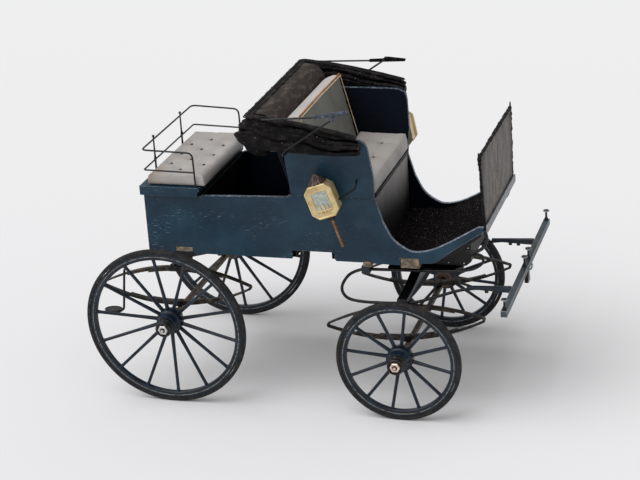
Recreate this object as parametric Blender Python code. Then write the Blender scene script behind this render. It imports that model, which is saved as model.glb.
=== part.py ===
"""Scale model of a hooded phaeton: a light four-wheeled carriage with a rear boot, a folding hood and lamps.

Metres, +Z up, +X forward, and the near side is -Y. The sizes below are millimetres, measured from the rear
axle's centre at ground level, and every shape is moved forward or back by ORIGIN_X so that the row frame's
origin lies on the ground under the middle of the model.
"""

import math

import bmesh
import bpy
from mathutils import Matrix, Vector

MM = 0.001
ORIGIN_X = 110.0
GAP = 0.3
SIDES = {"right": -1, "left": 1}

# Wheels and axles
REAR_WHEEL_R = 70.0
FRONT_WHEEL_R = 52.0
REAR_SPOKES = 14
FRONT_SPOKES = 12
REAR_TRACK_Y = 93.2
FRONT_TRACK_Y = 92.1
FRONT_AXLE_X = 198.5
REAR_CAMBER = 0.047
TYRE_WIDTH = 5.0
TYRE_DEPTH = 3.1
TREAD_HALF = 1.4
FELLOE_WIDTH = 4.4
FELLOE_DEPTH = 3.4
SPOKE_R = 1.25
NAVE_BORE_R = 2.8
ARM_R = 2.3
NUT_R = 4.5
AXLE_BAR = 4.0
ARM_ROOT = 14.2

# Body
BODY_REAR_X = -23.3
BODY_HALF_Y = 58.0
PANEL = 3.2
BODY_BOTTOM = 122.2
FLOOR_BOTTOM = 122.6
FLOOR_TOP = 125.4
SEAT_SIDE_TOP = 178.0
SEAT_BOARD_TOP = 181.5
QUARTER_BASE_Y = 59.0
QUARTER_BASE_Z = 178.4
QUARTER_TOP_Z = 232.0
QUARTER_LEAN = 0.206
REAR_SEAT_Z = 173.6

# Springs
SPRING_Y = 57.0
SPRING_WIDTH = 5.0
SPRING_HALF = 65.2
REAR_SPRING_X = -2.0
REAR_SPRING_Z = 91.7
REAR_SPRING_RISE = 16.9
REAR_SPRING_TILT = 0.03
FRONT_SPRING_X = 198.5
FRONT_SPRING_Z = 70.9
FRONT_SPRING_RISE = 14.7
FRONT_SPRING_TILT = 0.1

# Hood and landau irons
HOOD_PIVOT = (161.5, 0.0, 229.0)
ROD_PIVOT = (153.0, 0.0, 253.0)
HOOD_INNER_Y = 71.5
HOOD_OUTER_Y = 82.9
STRUT_Y = 84.0
ROD_Y = 86.2

# Lamps
LAMP_PIVOT_X = 163.1
LAMP_PIVOT_Z = 195.0
LAMP_Y = 74.0
LAMP_PLACES = {"right": (138.0, 182.0, 0.33), "left": (166.0, 194.0, 0.19)}
LAMP_WIDTH = 25.5
LAMP_HEIGHT = 31.5

# Fore-carriage
KINGPIN = (198.5, 0.0, 0.0)
IRON_Y = 52.0
IRON_R = 1.3
SPLINTER_BAR_X = 284.6
SPLINTER_BAR_Z = 103.4
SPLINTER_BAR_HALF_Y = 104.4
SPLINTER_BAR_DEPTH = 5.4

FINISHES = {
    "body_paint": ((0.028, 0.046, 0.075), 0.35, 0.0),
    "dark_paint": ((0.016, 0.026, 0.038), 0.35, 0.0),
    "tyre_rubber": ((0.038, 0.036, 0.036), 0.75, 0.0),
    "bare_wood": ((0.16, 0.1, 0.06), 0.7, 0.0),
    "black_iron": ((0.012, 0.012, 0.013), 0.3, 0.6),
    "spring_steel": ((0.05, 0.038, 0.03), 0.5, 0.6),
    "seat_leather": ((0.4, 0.38, 0.36), 0.6, 0.0),
    "hood_leather": ((0.017, 0.014, 0.015), 0.55, 0.0),
    "dash_leather": ((0.1, 0.1, 0.105), 0.6, 0.0),
    "felt": ((0.01, 0.009, 0.01), 0.95, 0.0),
    "lamp_gilt": ((0.7, 0.48, 0.18), 0.3, 0.9),
    "copper": ((0.3, 0.14, 0.06), 0.35, 0.9),
}


def clear_scene():
    for obj in list(bpy.data.objects):
        bpy.data.objects.remove(obj, do_unlink=True)


def make_finish(name):
    colour, roughness, metallic = FINISHES[name]
    material = bpy.data.materials.new(name)
    material.use_nodes = True
    shader = material.node_tree.nodes["Principled BSDF"]
    shader.inputs["Base Color"].default_value = (*colour, 1.0)
    shader.inputs["Roughness"].default_value = roughness
    shader.inputs["Metallic"].default_value = metallic
    return material


def make_pivot(name, point):
    """An empty on a moving body's axis, which the body's pieces are parented to."""
    pivot = bpy.data.objects.new(name, None)
    pivot.location = Vector((point[0] - ORIGIN_X, point[1], point[2])) * MM
    bpy.context.collection.objects.link(pivot)
    return pivot


def finished(shape):
    """The bmesh as a mesh with its faces turned outward."""
    bmesh.ops.recalc_face_normals(shape, faces=shape.faces)
    if shape.calc_volume(signed=True) < 0:
        bmesh.ops.reverse_faces(shape, faces=shape.faces)
    mesh = bpy.data.meshes.new("shape")
    shape.to_mesh(mesh)
    shape.free()
    return mesh


def prism(outline, low, high, axis="y"):
    """A flat outline carried along one axis: (x, z) pairs along y, (x, y) along z and (y, z) along x."""
    place = {
        "y": lambda a, b: (a, low, b),
        "z": lambda a, b: (a, b, low),
        "x": lambda a, b: (low, a, b),
    }[axis]
    along = {"y": (0, 1, 0), "z": (0, 0, 1), "x": (1, 0, 0)}[axis]
    shape = bmesh.new()
    face = shape.faces.new([shape.verts.new(place(a, b)) for a, b in outline])
    grown = bmesh.ops.extrude_face_region(shape, geom=[face])
    moved = [item for item in grown["geom"] if isinstance(item, bmesh.types.BMVert)]
    bmesh.ops.translate(shape, verts=moved, vec=Vector(along) * (high - low))
    return finished(shape)


def block(x, y, z):
    """A rectangular timber from its low and high x, y and z."""
    return prism([(x[0], z[0]), (x[1], z[0]), (x[1], z[1]), (x[0], z[1])], y[0], y[1])


def tapered(outline, half_low, half_high):
    """A prism centred on y = 0 whose half width changes evenly from its lowest to its highest point."""
    mesh = prism(outline, -1.0, 1.0)
    low = min(z for _, z in outline)
    high = max(z for _, z in outline)
    for vertex in mesh.vertices:
        share = (vertex.co.z - low) / (high - low)
        vertex.co.y *= half_low + share * (half_high - half_low)
    return mesh


def turned(profile, segments):
    """A closed (y, radius) outline turned about the y axis, with a flat of the ring lowest."""
    shape = bmesh.new()
    verts = [shape.verts.new((0.0, y, radius)) for y, radius in profile]
    edges = [shape.edges.new((a, b)) for a, b in zip(verts, verts[1:] + verts[:1]) if a != b]
    bmesh.ops.spin(
        shape,
        geom=verts + edges,
        cent=(0, 0, 0),
        axis=(0, 1, 0),
        angle=2 * math.pi,
        steps=segments,
        use_merge=True,
    )
    bmesh.ops.remove_doubles(shape, verts=shape.verts, dist=0.001)
    bmesh.ops.dissolve_degenerate(shape, edges=shape.edges, dist=0.001)
    bmesh.ops.rotate(
        shape,
        verts=shape.verts,
        cent=(0, 0, 0),
        matrix=Matrix.Rotation(math.pi / segments, 3, "Y"),
    )
    return finished(shape)


def cylinder(start, end, radius, sides=8, end_radius=None):
    """A round bar, or a cone, between two points."""
    start, end = Vector(start), Vector(end)
    shape = bmesh.new()
    bmesh.ops.create_cone(
        shape,
        cap_ends=True,
        segments=sides,
        radius1=radius,
        radius2=radius if end_radius is None else end_radius,
        depth=(end - start).length,
    )
    turn = Vector((0, 0, 1)).rotation_difference(end - start).to_matrix().to_4x4()
    shape.transform(Matrix.Translation((start + end) / 2) @ turn)
    return finished(shape)


def smooth(points, steps=4):
    """A Catmull-Rom curve through the points, with the given number of steps to each span."""
    points = [Vector(point) for point in points]
    run = [2 * points[0] - points[1], *points, 2 * points[-1] - points[-2]]
    curve = []
    for a, b, c, d in zip(run, run[1:], run[2:], run[3:]):
        for step in range(steps):
            t = step / steps
            curve.append(
                0.5 * (2 * b + (c - a) * t + (2 * a - 5 * b + 4 * c - d) * t**2 + (3 * b - a - 3 * c + d) * t**3)
            )
    return [*curve, points[-1]]


def bent(points, bend, steps=3):
    """Straight runs between the points, with each corner rounded off over the length of the bend."""
    points = [Vector(point) for point in points]
    route = [points[0]]
    for before, corner, after in zip(points, points[1:], points[2:]):
        start = corner + (before - corner).normalized() * min(bend, (before - corner).length / 2)
        end = corner + (after - corner).normalized() * min(bend, (after - corner).length / 2)
        for step in range(steps + 1):
            t = step / steps
            route.append(start * (1 - t) ** 2 + corner * 2 * t * (1 - t) + end * t**2)
    return [*route, points[-1]]


def wire(route, radius):
    """Round wire along a route: a curve with a bevel and filled caps."""
    curve = bpy.data.curves.new("wire", "CURVE")
    curve.dimensions = "3D"
    curve.bevel_depth = radius
    curve.bevel_resolution = 1
    curve.use_fill_caps = True
    spline = curve.splines.new("POLY")
    spline.points.add(len(route) - 1)
    for target, point in zip(spline.points, route):
        target.co = (*point, 1.0)
    obj = bpy.data.objects.new("wire", curve)
    bpy.context.collection.objects.link(obj)
    mesh = bpy.data.meshes.new_from_object(obj.evaluated_get(bpy.context.evaluated_depsgraph_get()))
    bpy.data.objects.remove(obj)
    shape = bmesh.new()
    shape.from_mesh(mesh)
    bmesh.ops.remove_doubles(shape, verts=shape.verts, dist=0.001)
    return finished(shape)


def combined(operation, first, *others):
    """The first mesh joined with or cut by the others, with an exact Boolean for each."""
    target = bpy.data.objects.new("target", first)
    bpy.context.collection.objects.link(target)
    tools = []
    for mesh in others:
        tool = bpy.data.objects.new("tool", mesh)
        bpy.context.collection.objects.link(tool)
        modifier = target.modifiers.new("join", "BOOLEAN")
        modifier.operation = operation
        modifier.object = tool
        tools.append(tool)
    graph = bpy.context.evaluated_depsgraph_get()
    mesh = bpy.data.meshes.new_from_object(target.evaluated_get(graph))
    for obj in [target, *tools]:
        bpy.data.objects.remove(obj)
    return mesh


def fused(first, *others):
    return combined("UNION", first, *others)


def mirrored(mesh):
    """The shape reflected to the other side of the carriage."""
    shape = bmesh.new()
    shape.from_mesh(mesh)
    shape.transform(Matrix.Scale(-1, 4, Vector((0, 1, 0))))
    return finished(shape)


def sided(mesh, sign):
    """A shape drawn on the -Y side, put on the side that sign names."""
    return mesh if sign < 0 else mirrored(mesh)


def add_node(name, mesh, finish, parent=None, pivot=(ORIGIN_X, 0.0, 0.0), round_piece=False, camber=0.0):
    """One piece of the carriage. Its mesh is kept about its pivot, where its object or its parent stands."""
    mesh = mesh.copy()
    mesh.name = name
    mesh.transform(Matrix.Scale(MM, 4) @ Matrix.Translation(-Vector(pivot)))
    mesh.materials.clear()
    mesh.materials.append(FINISH[finish])
    if round_piece:
        mesh.shade_smooth()
        mesh.set_sharp_from_angle(angle=math.radians(40))
    obj = bpy.data.objects.new(name, mesh)
    bpy.context.collection.objects.link(obj)
    obj.rotation_euler.x = camber
    if parent is None:
        obj.location = Vector((pivot[0] - ORIGIN_X, pivot[1], pivot[2])) * MM
    else:
        obj.parent = parent
        base = Vector((parent.location.x + ORIGIN_X * MM, parent.location.y, parent.location.z))
        obj.location = Vector(pivot) * MM - base
    return obj


# Body panels


def side_outline():
    """The body side seen square on: straight boot, raised arch under the seat, and a swept foot well."""
    sweep = smooth([(182, 158), (189.6, 144), (200, 136), (208.3, 133.9), (220.8, 136.4), (236, 143.8), (260, 158)])
    toe = smooth([(212, 121.3), (228, 125.7), (238, 131.5), (253, 141), (262, 147.5), (264.5, 153.6)], 3)
    return [
        (BODY_REAR_X, BODY_BOTTOM),
        (0.7, BODY_BOTTOM),
        (0.7, 127.8),
        (16.3, 127.8),
        (16.3, BODY_BOTTOM),
        (103, BODY_BOTTOM),
        (103, 129.6),
        (136, 129.6),
        (138.5, BODY_BOTTOM),
        (163, BODY_BOTTOM),
        (163, 123.5),
        (170.6, 123.5),
        (170.6, 121.8),
        (194.9, 121.5),
        (194.9, 128.3),
        (210.8, 128.3),
        (210.8, 121.4),
        *[tuple(point)[:2] for point in toe],
        (264.5, 158),
        *[tuple(point)[:2] for point in reversed(sweep)],
        (176.3, 177),
        (176.3, SEAT_SIDE_TOP),
        (103, SEAT_SIDE_TOP),
        (103, 176.5),
        (27, 174.2),
        (27, REAR_SEAT_Z - GAP),
        (BODY_REAR_X, REAR_SEAT_Z - GAP),
    ]


def lean(y, z):
    return y + QUARTER_LEAN * (z - QUARTER_BASE_Z)


def quarter_panel():
    """The seat's side: it leans outward, is rounded at its top front corner and carries the hood's pivot pin."""
    corner = smooth([(174.7, 223.8), (172.7, 228.7), (167.8, 231.3)], 3)
    outline = [
        (106.2, QUARTER_BASE_Z),
        (176, QUARTER_BASE_Z),
        (177, 200),
        *[tuple(point)[:2] for point in corner],
        (163, QUARTER_TOP_Z),
        (95, QUARTER_TOP_Z),
    ]
    mesh = prism(outline, -QUARTER_BASE_Y, PANEL - QUARTER_BASE_Y)
    for vertex in mesh.vertices:
        vertex.co.y -= QUARTER_LEAN * (vertex.co.z - QUARTER_BASE_Z)
    x, _, z = HOOD_PIVOT
    pin = cylinder((x, 1.5 - lean(QUARTER_BASE_Y, z), z), (x, GAP - HOOD_INNER_Y, z), 1.9, 10)
    return fused(mesh, pin)


def let_in_timber(x, bottom, middle_top, end_top):
    """A cross timber under the floor whose ends stand up into notches in the side panels."""
    inner = BODY_HALF_Y - PANEL
    outline = [
        (-BODY_HALF_Y, bottom),
        (BODY_HALF_Y, bottom),
        (BODY_HALF_Y, end_top),
        (inner, end_top),
        (inner, middle_top),
        (-inner, middle_top),
        (-inner, end_top),
        (-BODY_HALF_Y, end_top),
    ]
    return prism(outline, x[0], x[1], "x")


def toe_lines():
    """The toe board's lower and upper lines, rising from the floor to the dash."""
    lower = smooth([(214, 122.9), (228, 127.1), (238, 132.9), (253, 142.4), (261.4, 149)], 3)
    upper = smooth([(261.4, 154.3), (253, 149), (238, 139.8), (225, 132.9), (214, 126.3)], 3)
    return [tuple(p)[:2] for p in lower], [tuple(p)[:2] for p in upper]


def build_body():
    inner = BODY_HALF_Y - PANEL - GAP
    for side, sign in SIDES.items():
        panel = prism(side_outline(), -BODY_HALF_Y, PANEL - BODY_HALF_Y)
        add_node(f"side_panel_{side}", sided(panel, sign), "body_paint")
        add_node(f"quarter_panel_{side}", sided(quarter_panel(), sign), "body_paint")

    floor = [
        (BODY_REAR_X + PANEL + GAP, FLOOR_BOTTOM),
        (105.8, FLOOR_BOTTOM),
        (105.8, 130.2),
        (136.2, 130.2),
        (136.2, FLOOR_BOTTOM),
        (213.7, FLOOR_BOTTOM),
        (213.7, FLOOR_TOP),
        (139, FLOOR_TOP),
        (139, 133),
        (103, 133),
        (103, FLOOR_TOP),
        (BODY_REAR_X + PANEL + GAP, FLOOR_TOP),
    ]
    add_node("body_floor", prism(floor, -inner, inner), "dark_paint")
    add_node(
        "rear_panel",
        block((BODY_REAR_X, BODY_REAR_X + PANEL), (-inner, inner), (FLOOR_BOTTOM, REAR_SEAT_Z - GAP)),
        "body_paint",
    )
    add_node(
        "boot_rear_wall",
        block((24, 27), (-inner, inner), (FLOOR_TOP + GAP, REAR_SEAT_Z - GAP)),
        "dark_paint",
    )
    add_node("boot_front_wall", block((103.3, 106.1), (-inner, inner), (133 + GAP, SEAT_SIDE_TOP)), "dark_paint")
    add_node("seat_riser", block((172.8, 175.8), (-inner, inner), (FLOOR_TOP + GAP, SEAT_SIDE_TOP)), "body_paint")
    seat_half = QUARTER_BASE_Y - PANEL - 0.4
    add_node(
        "seat_board",
        block((103.4, 176.8), (-seat_half, seat_half), (SEAT_SIDE_TOP + GAP, SEAT_BOARD_TOP)),
        "dark_paint",
    )
    rear_board = [
        (-25.5, REAR_SEAT_Z),
        (25, REAR_SEAT_Z),
        (25, 178.2),
        (27, 178.2),
        (27, 181.5),
        (-25.5, 181.5),
    ]
    add_node("rear_seat_board", prism(rear_board, -60.8, 60.8), "body_paint")
    back = [(105.5, 181.8), (108.3, 181.8), (97.7, 231.8), (94.9, 231.8)]
    back_half = [lean(QUARTER_BASE_Y, z) - PANEL - 0.5 for z in (181.8, 231.8)]
    add_node("seat_back_board", tapered(back, *back_half), "dark_paint")

    lower, upper = toe_lines()
    toe_block = prism([(241, 123.4), (250.6, 123.4), (250.6, 142), (241, 136)], -40, 40)
    toe_board = prism([*lower, *upper], -inner, inner)
    add_node("toe_board", fused(toe_board, toe_block), "dark_paint")

    front = let_in_timber((195.2, 210.5), 119.4, FLOOR_BOTTOM - GAP, 128)
    add_node("front_transom", front, "bare_wood")
    rear = let_in_timber((1, 16), 119.4, FLOOR_BOTTOM - GAP, 127.5)
    spring_blocks = [block((1.5, 13), (y - 3, y + 3), (110.7, 120)) for y in (-SPRING_Y + 2, SPRING_Y - 2)]
    add_node("rear_transom", fused(rear, *spring_blocks), "bare_wood")
    add_node("seat_batten", let_in_timber((163.3, 170.3), 118.4, FLOOR_BOTTOM - GAP, 123.2), "bare_wood")


# Seats, felt and dash


def build_upholstery():
    cushion = [(135.9, 181.8), (177, 181.8), (176.8, 190), (175.5, 196.5), (132.2, 196.5)]
    add_node("main_cushion", tapered(cushion, 55.9, 58.4), "seat_leather")
    squab = [(135.2, 182), (117.8, 247.1), (105.7, 244.1), (99.3, 231.4), (109.2, 182)]
    add_node("backrest_squab", tapered(squab, 55.9, 59.7), "seat_leather")
    rear_cushion = [(-19.4, 181.8), (31.7, 181.8), (31.2, 190), (29.8, 191.5), (-17.6, 191.5), (-19.2, 190)]
    add_node("rear_cushion", prism(rear_cushion, -57.5, 57.5), "seat_leather")

    upper = toe_lines()[1]
    under = [(x, z + 0.4) for x, z in reversed(upper)]
    over = smooth([(260.8, 157.4), (253, 152.9), (238, 143.9), (225, 137.4), (212, 130.7), (200, 128.9)], 2)
    felt = [(176.2, 125.7), (213.4, 125.7), *under, *[tuple(p)[:2] for p in over], (176.2, 128.5)]
    half = BODY_HALF_Y - PANEL - 0.4
    add_node("floor_felt", prism(felt, -half, half), "felt")


def rail_side(points, sign):
    return [(x, sign * y, z) for x, y, z in points]


def build_seat_rail():
    """The bent wire rail round the rear seat: two rails, two front posts and two turned stanchions."""
    upper = [(24.2, 59.4, 181.8), (23.6, 59.5, 211.6), (-20.2, 60.8, 213.3)]
    lower = [(23.8, 59.4, 194.6), (-19.8, 60.3, 195.8)]
    rails = [wire(bent(rail_side(path, -1) + rail_side(path, 1)[::-1], 5), 0.72) for path in (upper, lower)]
    stanchions = []
    for y in (-32, 32):
        stanchions.append(cylinder((-20.6, y, 181.8), (-20.6, y, 215.2), 0.75, 6))
        stanchions.append(cylinder((-20.6, y, 214.4), (-20.6, y, 216.6), 1.3, 8, 0.5))
    add_node("rear_seat_rail", fused(rails[0], rails[1], *stanchions), "black_iron", round_piece=True)


def build_dash():
    panel = [(264.9, 156.6), (266.2, 156.6), (264.6, 217.6), (263.3, 217.6)]
    add_node("dash_panel", tapered(panel, 57.2, 63.6), "dash_leather")
    strip = block((266.7, 268.3), (-59.8, 59.8), (154.6, 161.4))
    add_node("dash_rail", strip, "dash_leather")
    half = [(265.5, 58.7, 156.2), (263.8, 65.2, 219)]
    frame = wire(bent(rail_side(half, -1) + rail_side(half, 1)[::-1], 3), 1.0)
    ears = [cylinder((263.8, y, 216), (263.5, y * 1.03, 223), 1.1, 6, 0.5) for y in (-64.6, 64.6)]
    add_node("dash_frame", fused(frame, *ears), "black_iron", round_piece=True)
    toe = [(265.6, -57.6, 154.2), (266.4, -57.2, 147.7), (263.6, -56.8, 141), (258.4, -56.6, 136.9)]
    toe += [(254, -56.4, 136.2), (249.5, -56.4, 137.1)]
    for side, sign in SIDES.items():
        add_node(f"toe_iron_{side}", sided(wire(smooth(toe, 2), 1.0), sign), "black_iron", round_piece=True)


# Springs, axles and steps


def leaf(half, rise, thickness, width, steps):
    """One bowed spring leaf: a parabola of the given rise, with even thickness and tapered tips."""
    xs = [half * (2 * i / steps - 1) for i in range(steps + 1)]
    centre = [(x, rise * (1 - (x / half) ** 2)) for x in xs]
    top = [(x, z + thickness / 2) for x, z in centre]
    bottom = [(x, z - thickness / 2) for x, z in reversed(centre)]
    return prism([*top, *bottom], -width / 2, width / 2)


def elliptic_spring(rise):
    """Two bowed stacks of leaves facing each other, joined by round eyes, with clips at the middle."""
    parts = []
    for flip in (1, -1):
        main = leaf(SPRING_HALF, rise, 1.5, SPRING_WIDTH, 10)
        short = leaf(SPRING_HALF * 0.62, rise * 0.4, 1.4, SPRING_WIDTH, 6)
        short.transform(Matrix.Translation((0, 0, rise * 0.6 - 1.1)))
        clip = block((-4.5, 4.5), (-SPRING_WIDTH / 2 - 0.8, SPRING_WIDTH / 2 + 0.8), (rise - 3, rise + 1.7))
        for mesh in (main, short, clip):
            mesh.transform(Matrix.Scale(flip, 4, Vector((0, 0, 1))))
            if flip < 0:
                mesh.flip_normals()
            parts.append(mesh)
    for x in (-SPRING_HALF, SPRING_HALF):
        parts.append(cylinder((x, -SPRING_WIDTH / 2 - 0.6, 0), (x, SPRING_WIDTH / 2 + 0.6, 0), 2.3, 8))
    return fused(*parts)


def add_spring(name, mesh, place, tilt, parent=None, pivot=(ORIGIN_X, 0.0, 0.0)):
    mesh = mesh.copy()
    mesh.transform(Matrix.Translation(place) @ Matrix.Rotation(-tilt, 4, "Y"))
    add_node(name, mesh, "spring_steel", parent, pivot)


def axle_arm(camber):
    """The round arm that a wheel turns on, its collar and its nut, drawn outward along -Y from the wheel centre."""
    collar = turned([(13.3, 0), (13.3, 3.9), (11.9, 3.9), (11.9, 0)], 10)
    arm = cylinder((0, ARM_ROOT + 1, 0), (0, -13.4, 0), ARM_R, 10)
    nut = turned([(-9.4, 0), (-9.4, NUT_R), (-11.9, NUT_R), (-11.9, 0)], 6)
    whole = fused(arm, collar, nut)
    whole.transform(Matrix.Rotation(camber, 4, "X"))
    return whole


def axle(x, centre_z, track, camber):
    """A square axle bar with a wheel's arm at each end, running down and out where the wheels lean."""
    root_y = track - ARM_ROOT * math.cos(camber)
    bar_z = centre_z + ARM_ROOT * math.sin(camber)
    half = AXLE_BAR / 2
    bar = block((x - half, x + half), (-root_y - 0.5, root_y + 0.5), (bar_z - half, bar_z + half))
    arm = axle_arm(camber)
    arm.transform(Matrix.Translation((x, -track, centre_z)))
    return fused(bar, arm, mirrored(arm))


def step_iron():
    """A groom's step: a wire hooked over the spring, dropped and bent back under a thin oval pad."""
    route = [(-46.6, -57.6, 105.6), (-46.6, -61.6, 105.2), (-50.6, -62, 67.2), (-58, -62, 67.2)]
    stem = wire(bent(route, 3.4), 1.0)
    oval = [(-60 + 8 * math.cos(a), -62 + 6 * math.sin(a)) for a in (math.pi * i / 8 for i in range(16))]
    return fused(stem, prism(oval, 66.4, 68.2, "z"))


def build_rear_gear():
    centre_z = wheel_centre_z(REAR_WHEEL_R, REAR_CAMBER)
    add_node("rear_axle", axle(0, centre_z, REAR_TRACK_Y, REAR_CAMBER), "black_iron")
    spring = elliptic_spring(REAR_SPRING_RISE)
    for side, sign in SIDES.items():
        place = (REAR_SPRING_X, sign * SPRING_Y, REAR_SPRING_Z)
        add_spring(f"rear_spring_{side}", spring, place, REAR_SPRING_TILT)
        add_node(f"step_iron_{side}", sided(step_iron(), sign), "black_iron", round_piece=True)


# Wheels


def wheel_centre_z(radius, camber):
    return radius * math.cos(camber) + TREAD_HALF * math.sin(camber)


def wheel_wood(radius, spokes):
    """A turned nave with a through bore, round spokes and a felloe ring, fused as one wheel."""
    tread = radius - TYRE_DEPTH - GAP
    segments = spokes * 3
    half = FELLOE_WIDTH / 2
    ring = turned([(-half, tread - FELLOE_DEPTH), (half, tread - FELLOE_DEPTH), (half, tread), (-half, tread)], segments)
    nave = turned(
        [
            (11.5, NAVE_BORE_R),
            (11.5, 7.4),
            (4.2, 8.2),
            (3.2, 11),
            (-3.2, 11),
            (-4.4, 8.6),
            (-6.4, 7.2),
            (-9.1, 6.8),
            (-9.1, NAVE_BORE_R),
        ],
        14,
    )
    bars = []
    for index in range(spokes):
        angle = 2 * math.pi * index / spokes
        way = Vector((math.sin(angle), 0, math.cos(angle)))
        bars.append(cylinder(way * 9, way * (tread - FELLOE_DEPTH / 2), SPOKE_R * 1.25, 6, SPOKE_R))
    return fused(ring, *bars, nave)


def tyre(radius, spokes):
    """The tyre ring, drawn a little full so that its flats, not its corners, lie on the wheel's true radius."""
    segments = spokes * 3
    outer = radius / math.cos(math.pi / segments)
    inner = outer - TYRE_DEPTH
    half = TYRE_WIDTH / 2
    tread = [(half, outer - 0.9), (TREAD_HALF, outer), (-TREAD_HALF, outer), (-half, outer - 0.9)]
    return turned([(-half, inner), (half, inner), *tread], segments)


def build_wheels(fore_carriage):
    kinds = {
        "rear": (REAR_WHEEL_R, REAR_SPOKES, 0.0, REAR_TRACK_Y, REAR_CAMBER, None),
        "front": (FRONT_WHEEL_R, FRONT_SPOKES, FRONT_AXLE_X, FRONT_TRACK_Y, 0.0, fore_carriage),
    }
    for end, (radius, spokes, x, track, camber, parent) in kinds.items():
        wood = wheel_wood(radius, spokes)
        tread = tyre(radius, spokes)
        centre = Vector((x, 0, wheel_centre_z(radius, camber)))
        for side, sign in SIDES.items():
            pivot = centre + Vector((0, sign * track, 0))
            for name, mesh, finish in (("wheel", wood, "dark_paint"), ("tyre", tread, "tyre_rubber")):
                shape = sided(mesh, sign).copy()
                shape.transform(Matrix.Translation(pivot))
                add_node(f"{end}_{name}_{side}", shape, finish, parent, pivot, True, -sign * camber)


# Fore-carriage


def build_fore_carriage(parent):
    def add(name, mesh, finish, round_piece=False):
        add_node(name, mesh, finish, parent, KINGPIN, round_piece)

    plate = prism([(190.4, -IRON_Y + 2), (206.6, -IRON_Y + 2), (206.6, IRON_Y - 2), (190.4, IRON_Y - 2)], 114.2, 116.6, "z")
    post = cylinder((198.5, 0, 93.1), (198.5, 0, 115), 5, 12)
    add("king_plate", fused(plate, post), "black_iron")

    belly = smooth([(-57, 88), (-40, 86.2), (-18, 79), (0, 77), (18, 79), (40, 86.2), (57, 88)], 2)
    bolster = prism([*[tuple(p)[:2] for p in belly], (57, 92.8), (-57, 92.8)], 190, 198.4, "x")
    for vertex in bolster.vertices:
        vertex.co.x += 4 * (1 - (vertex.co.y / 57) ** 2)
    add("bolster", bolster, "dark_paint")

    sway = block((161.6, 166.4), (-IRON_Y + IRON_R + GAP, IRON_Y - IRON_R - GAP), (113.2, 117.2))
    add("sway_bar", sway, "dark_paint")

    loop = [(168.5, -IRON_Y, 114.2), (159, -IRON_Y, 113.2), (149.4, -IRON_Y, 108.2), (143, -IRON_Y, 98.5)]
    loop += [(143.6, -IRON_Y, 91), (150.5, -IRON_Y, 86), (169.5, -IRON_Y, 84.6), (201.8, -IRON_Y, 86.6)]
    loop += [(224, -IRON_Y, 93.7), (243.5, -IRON_Y, 100.4), (263, -IRON_Y, 103.2), (284.2, -IRON_Y, 103.4)]
    bar = [(167.5, -IRON_Y, 114.2), (206, -IRON_Y, 115.4), (246, -IRON_Y, 116.9)]
    scroll = [(256, -IRON_Y, 102.6), (249.6, -IRON_Y, 104.6), (241.6, -IRON_Y, 107.4), (239.4, -IRON_Y, 112)]
    scroll += [(245.4, -IRON_Y, 117), (254, -IRON_Y, 119.6), (260.8, -IRON_Y, 124.4), (262, -IRON_Y, 130)]
    scroll += [(258.1, -IRON_Y, 132.3), (253.1, -IRON_Y, 131.2)]
    iron = fused(wire(smooth(loop, 2), IRON_R), wire(bar, IRON_R), wire(smooth(scroll, 2), IRON_R * 0.9))
    spring = elliptic_spring(FRONT_SPRING_RISE)
    for side, sign in SIDES.items():
        add(f"wheel_iron_{side}", sided(iron, sign), "black_iron", True)
        place = (FRONT_SPRING_X, sign * SPRING_Y, FRONT_SPRING_Z)
        add_spring(f"front_spring_{side}", spring, place, FRONT_SPRING_TILT, parent, KINGPIN)

    front = axle(FRONT_AXLE_X, FRONT_WHEEL_R, FRONT_TRACK_Y, 0.0)
    add("front_axle", front, "black_iron")

    half = SPLINTER_BAR_DEPTH / 2
    x, z = SPLINTER_BAR_X + half, SPLINTER_BAR_Z
    bar = block((x - half, x + half), (-SPLINTER_BAR_HALF_Y, SPLINTER_BAR_HALF_Y), (z - half, z + half))
    bolts = []
    for y in (-100.8, -9, 9, 100.8):
        bolts.append(cylinder((x, y, z), (x, y, z + 7.6), 1.3, 8))
        bolts.append(cylinder((x, y, z + 7), (x, y, z + 9), 2.6, 8))
    bracket = prism([(-9, z - 2), (-6, z - 9), (-2.4, z - 11), (2.4, z - 11), (6, z - 9), (9, z - 2)], x - 3.4, x + 1, "x")
    add("splinter_bar", fused(bar, *bolts, bracket), "dark_paint")


# Hood, landau irons and lamps


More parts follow.
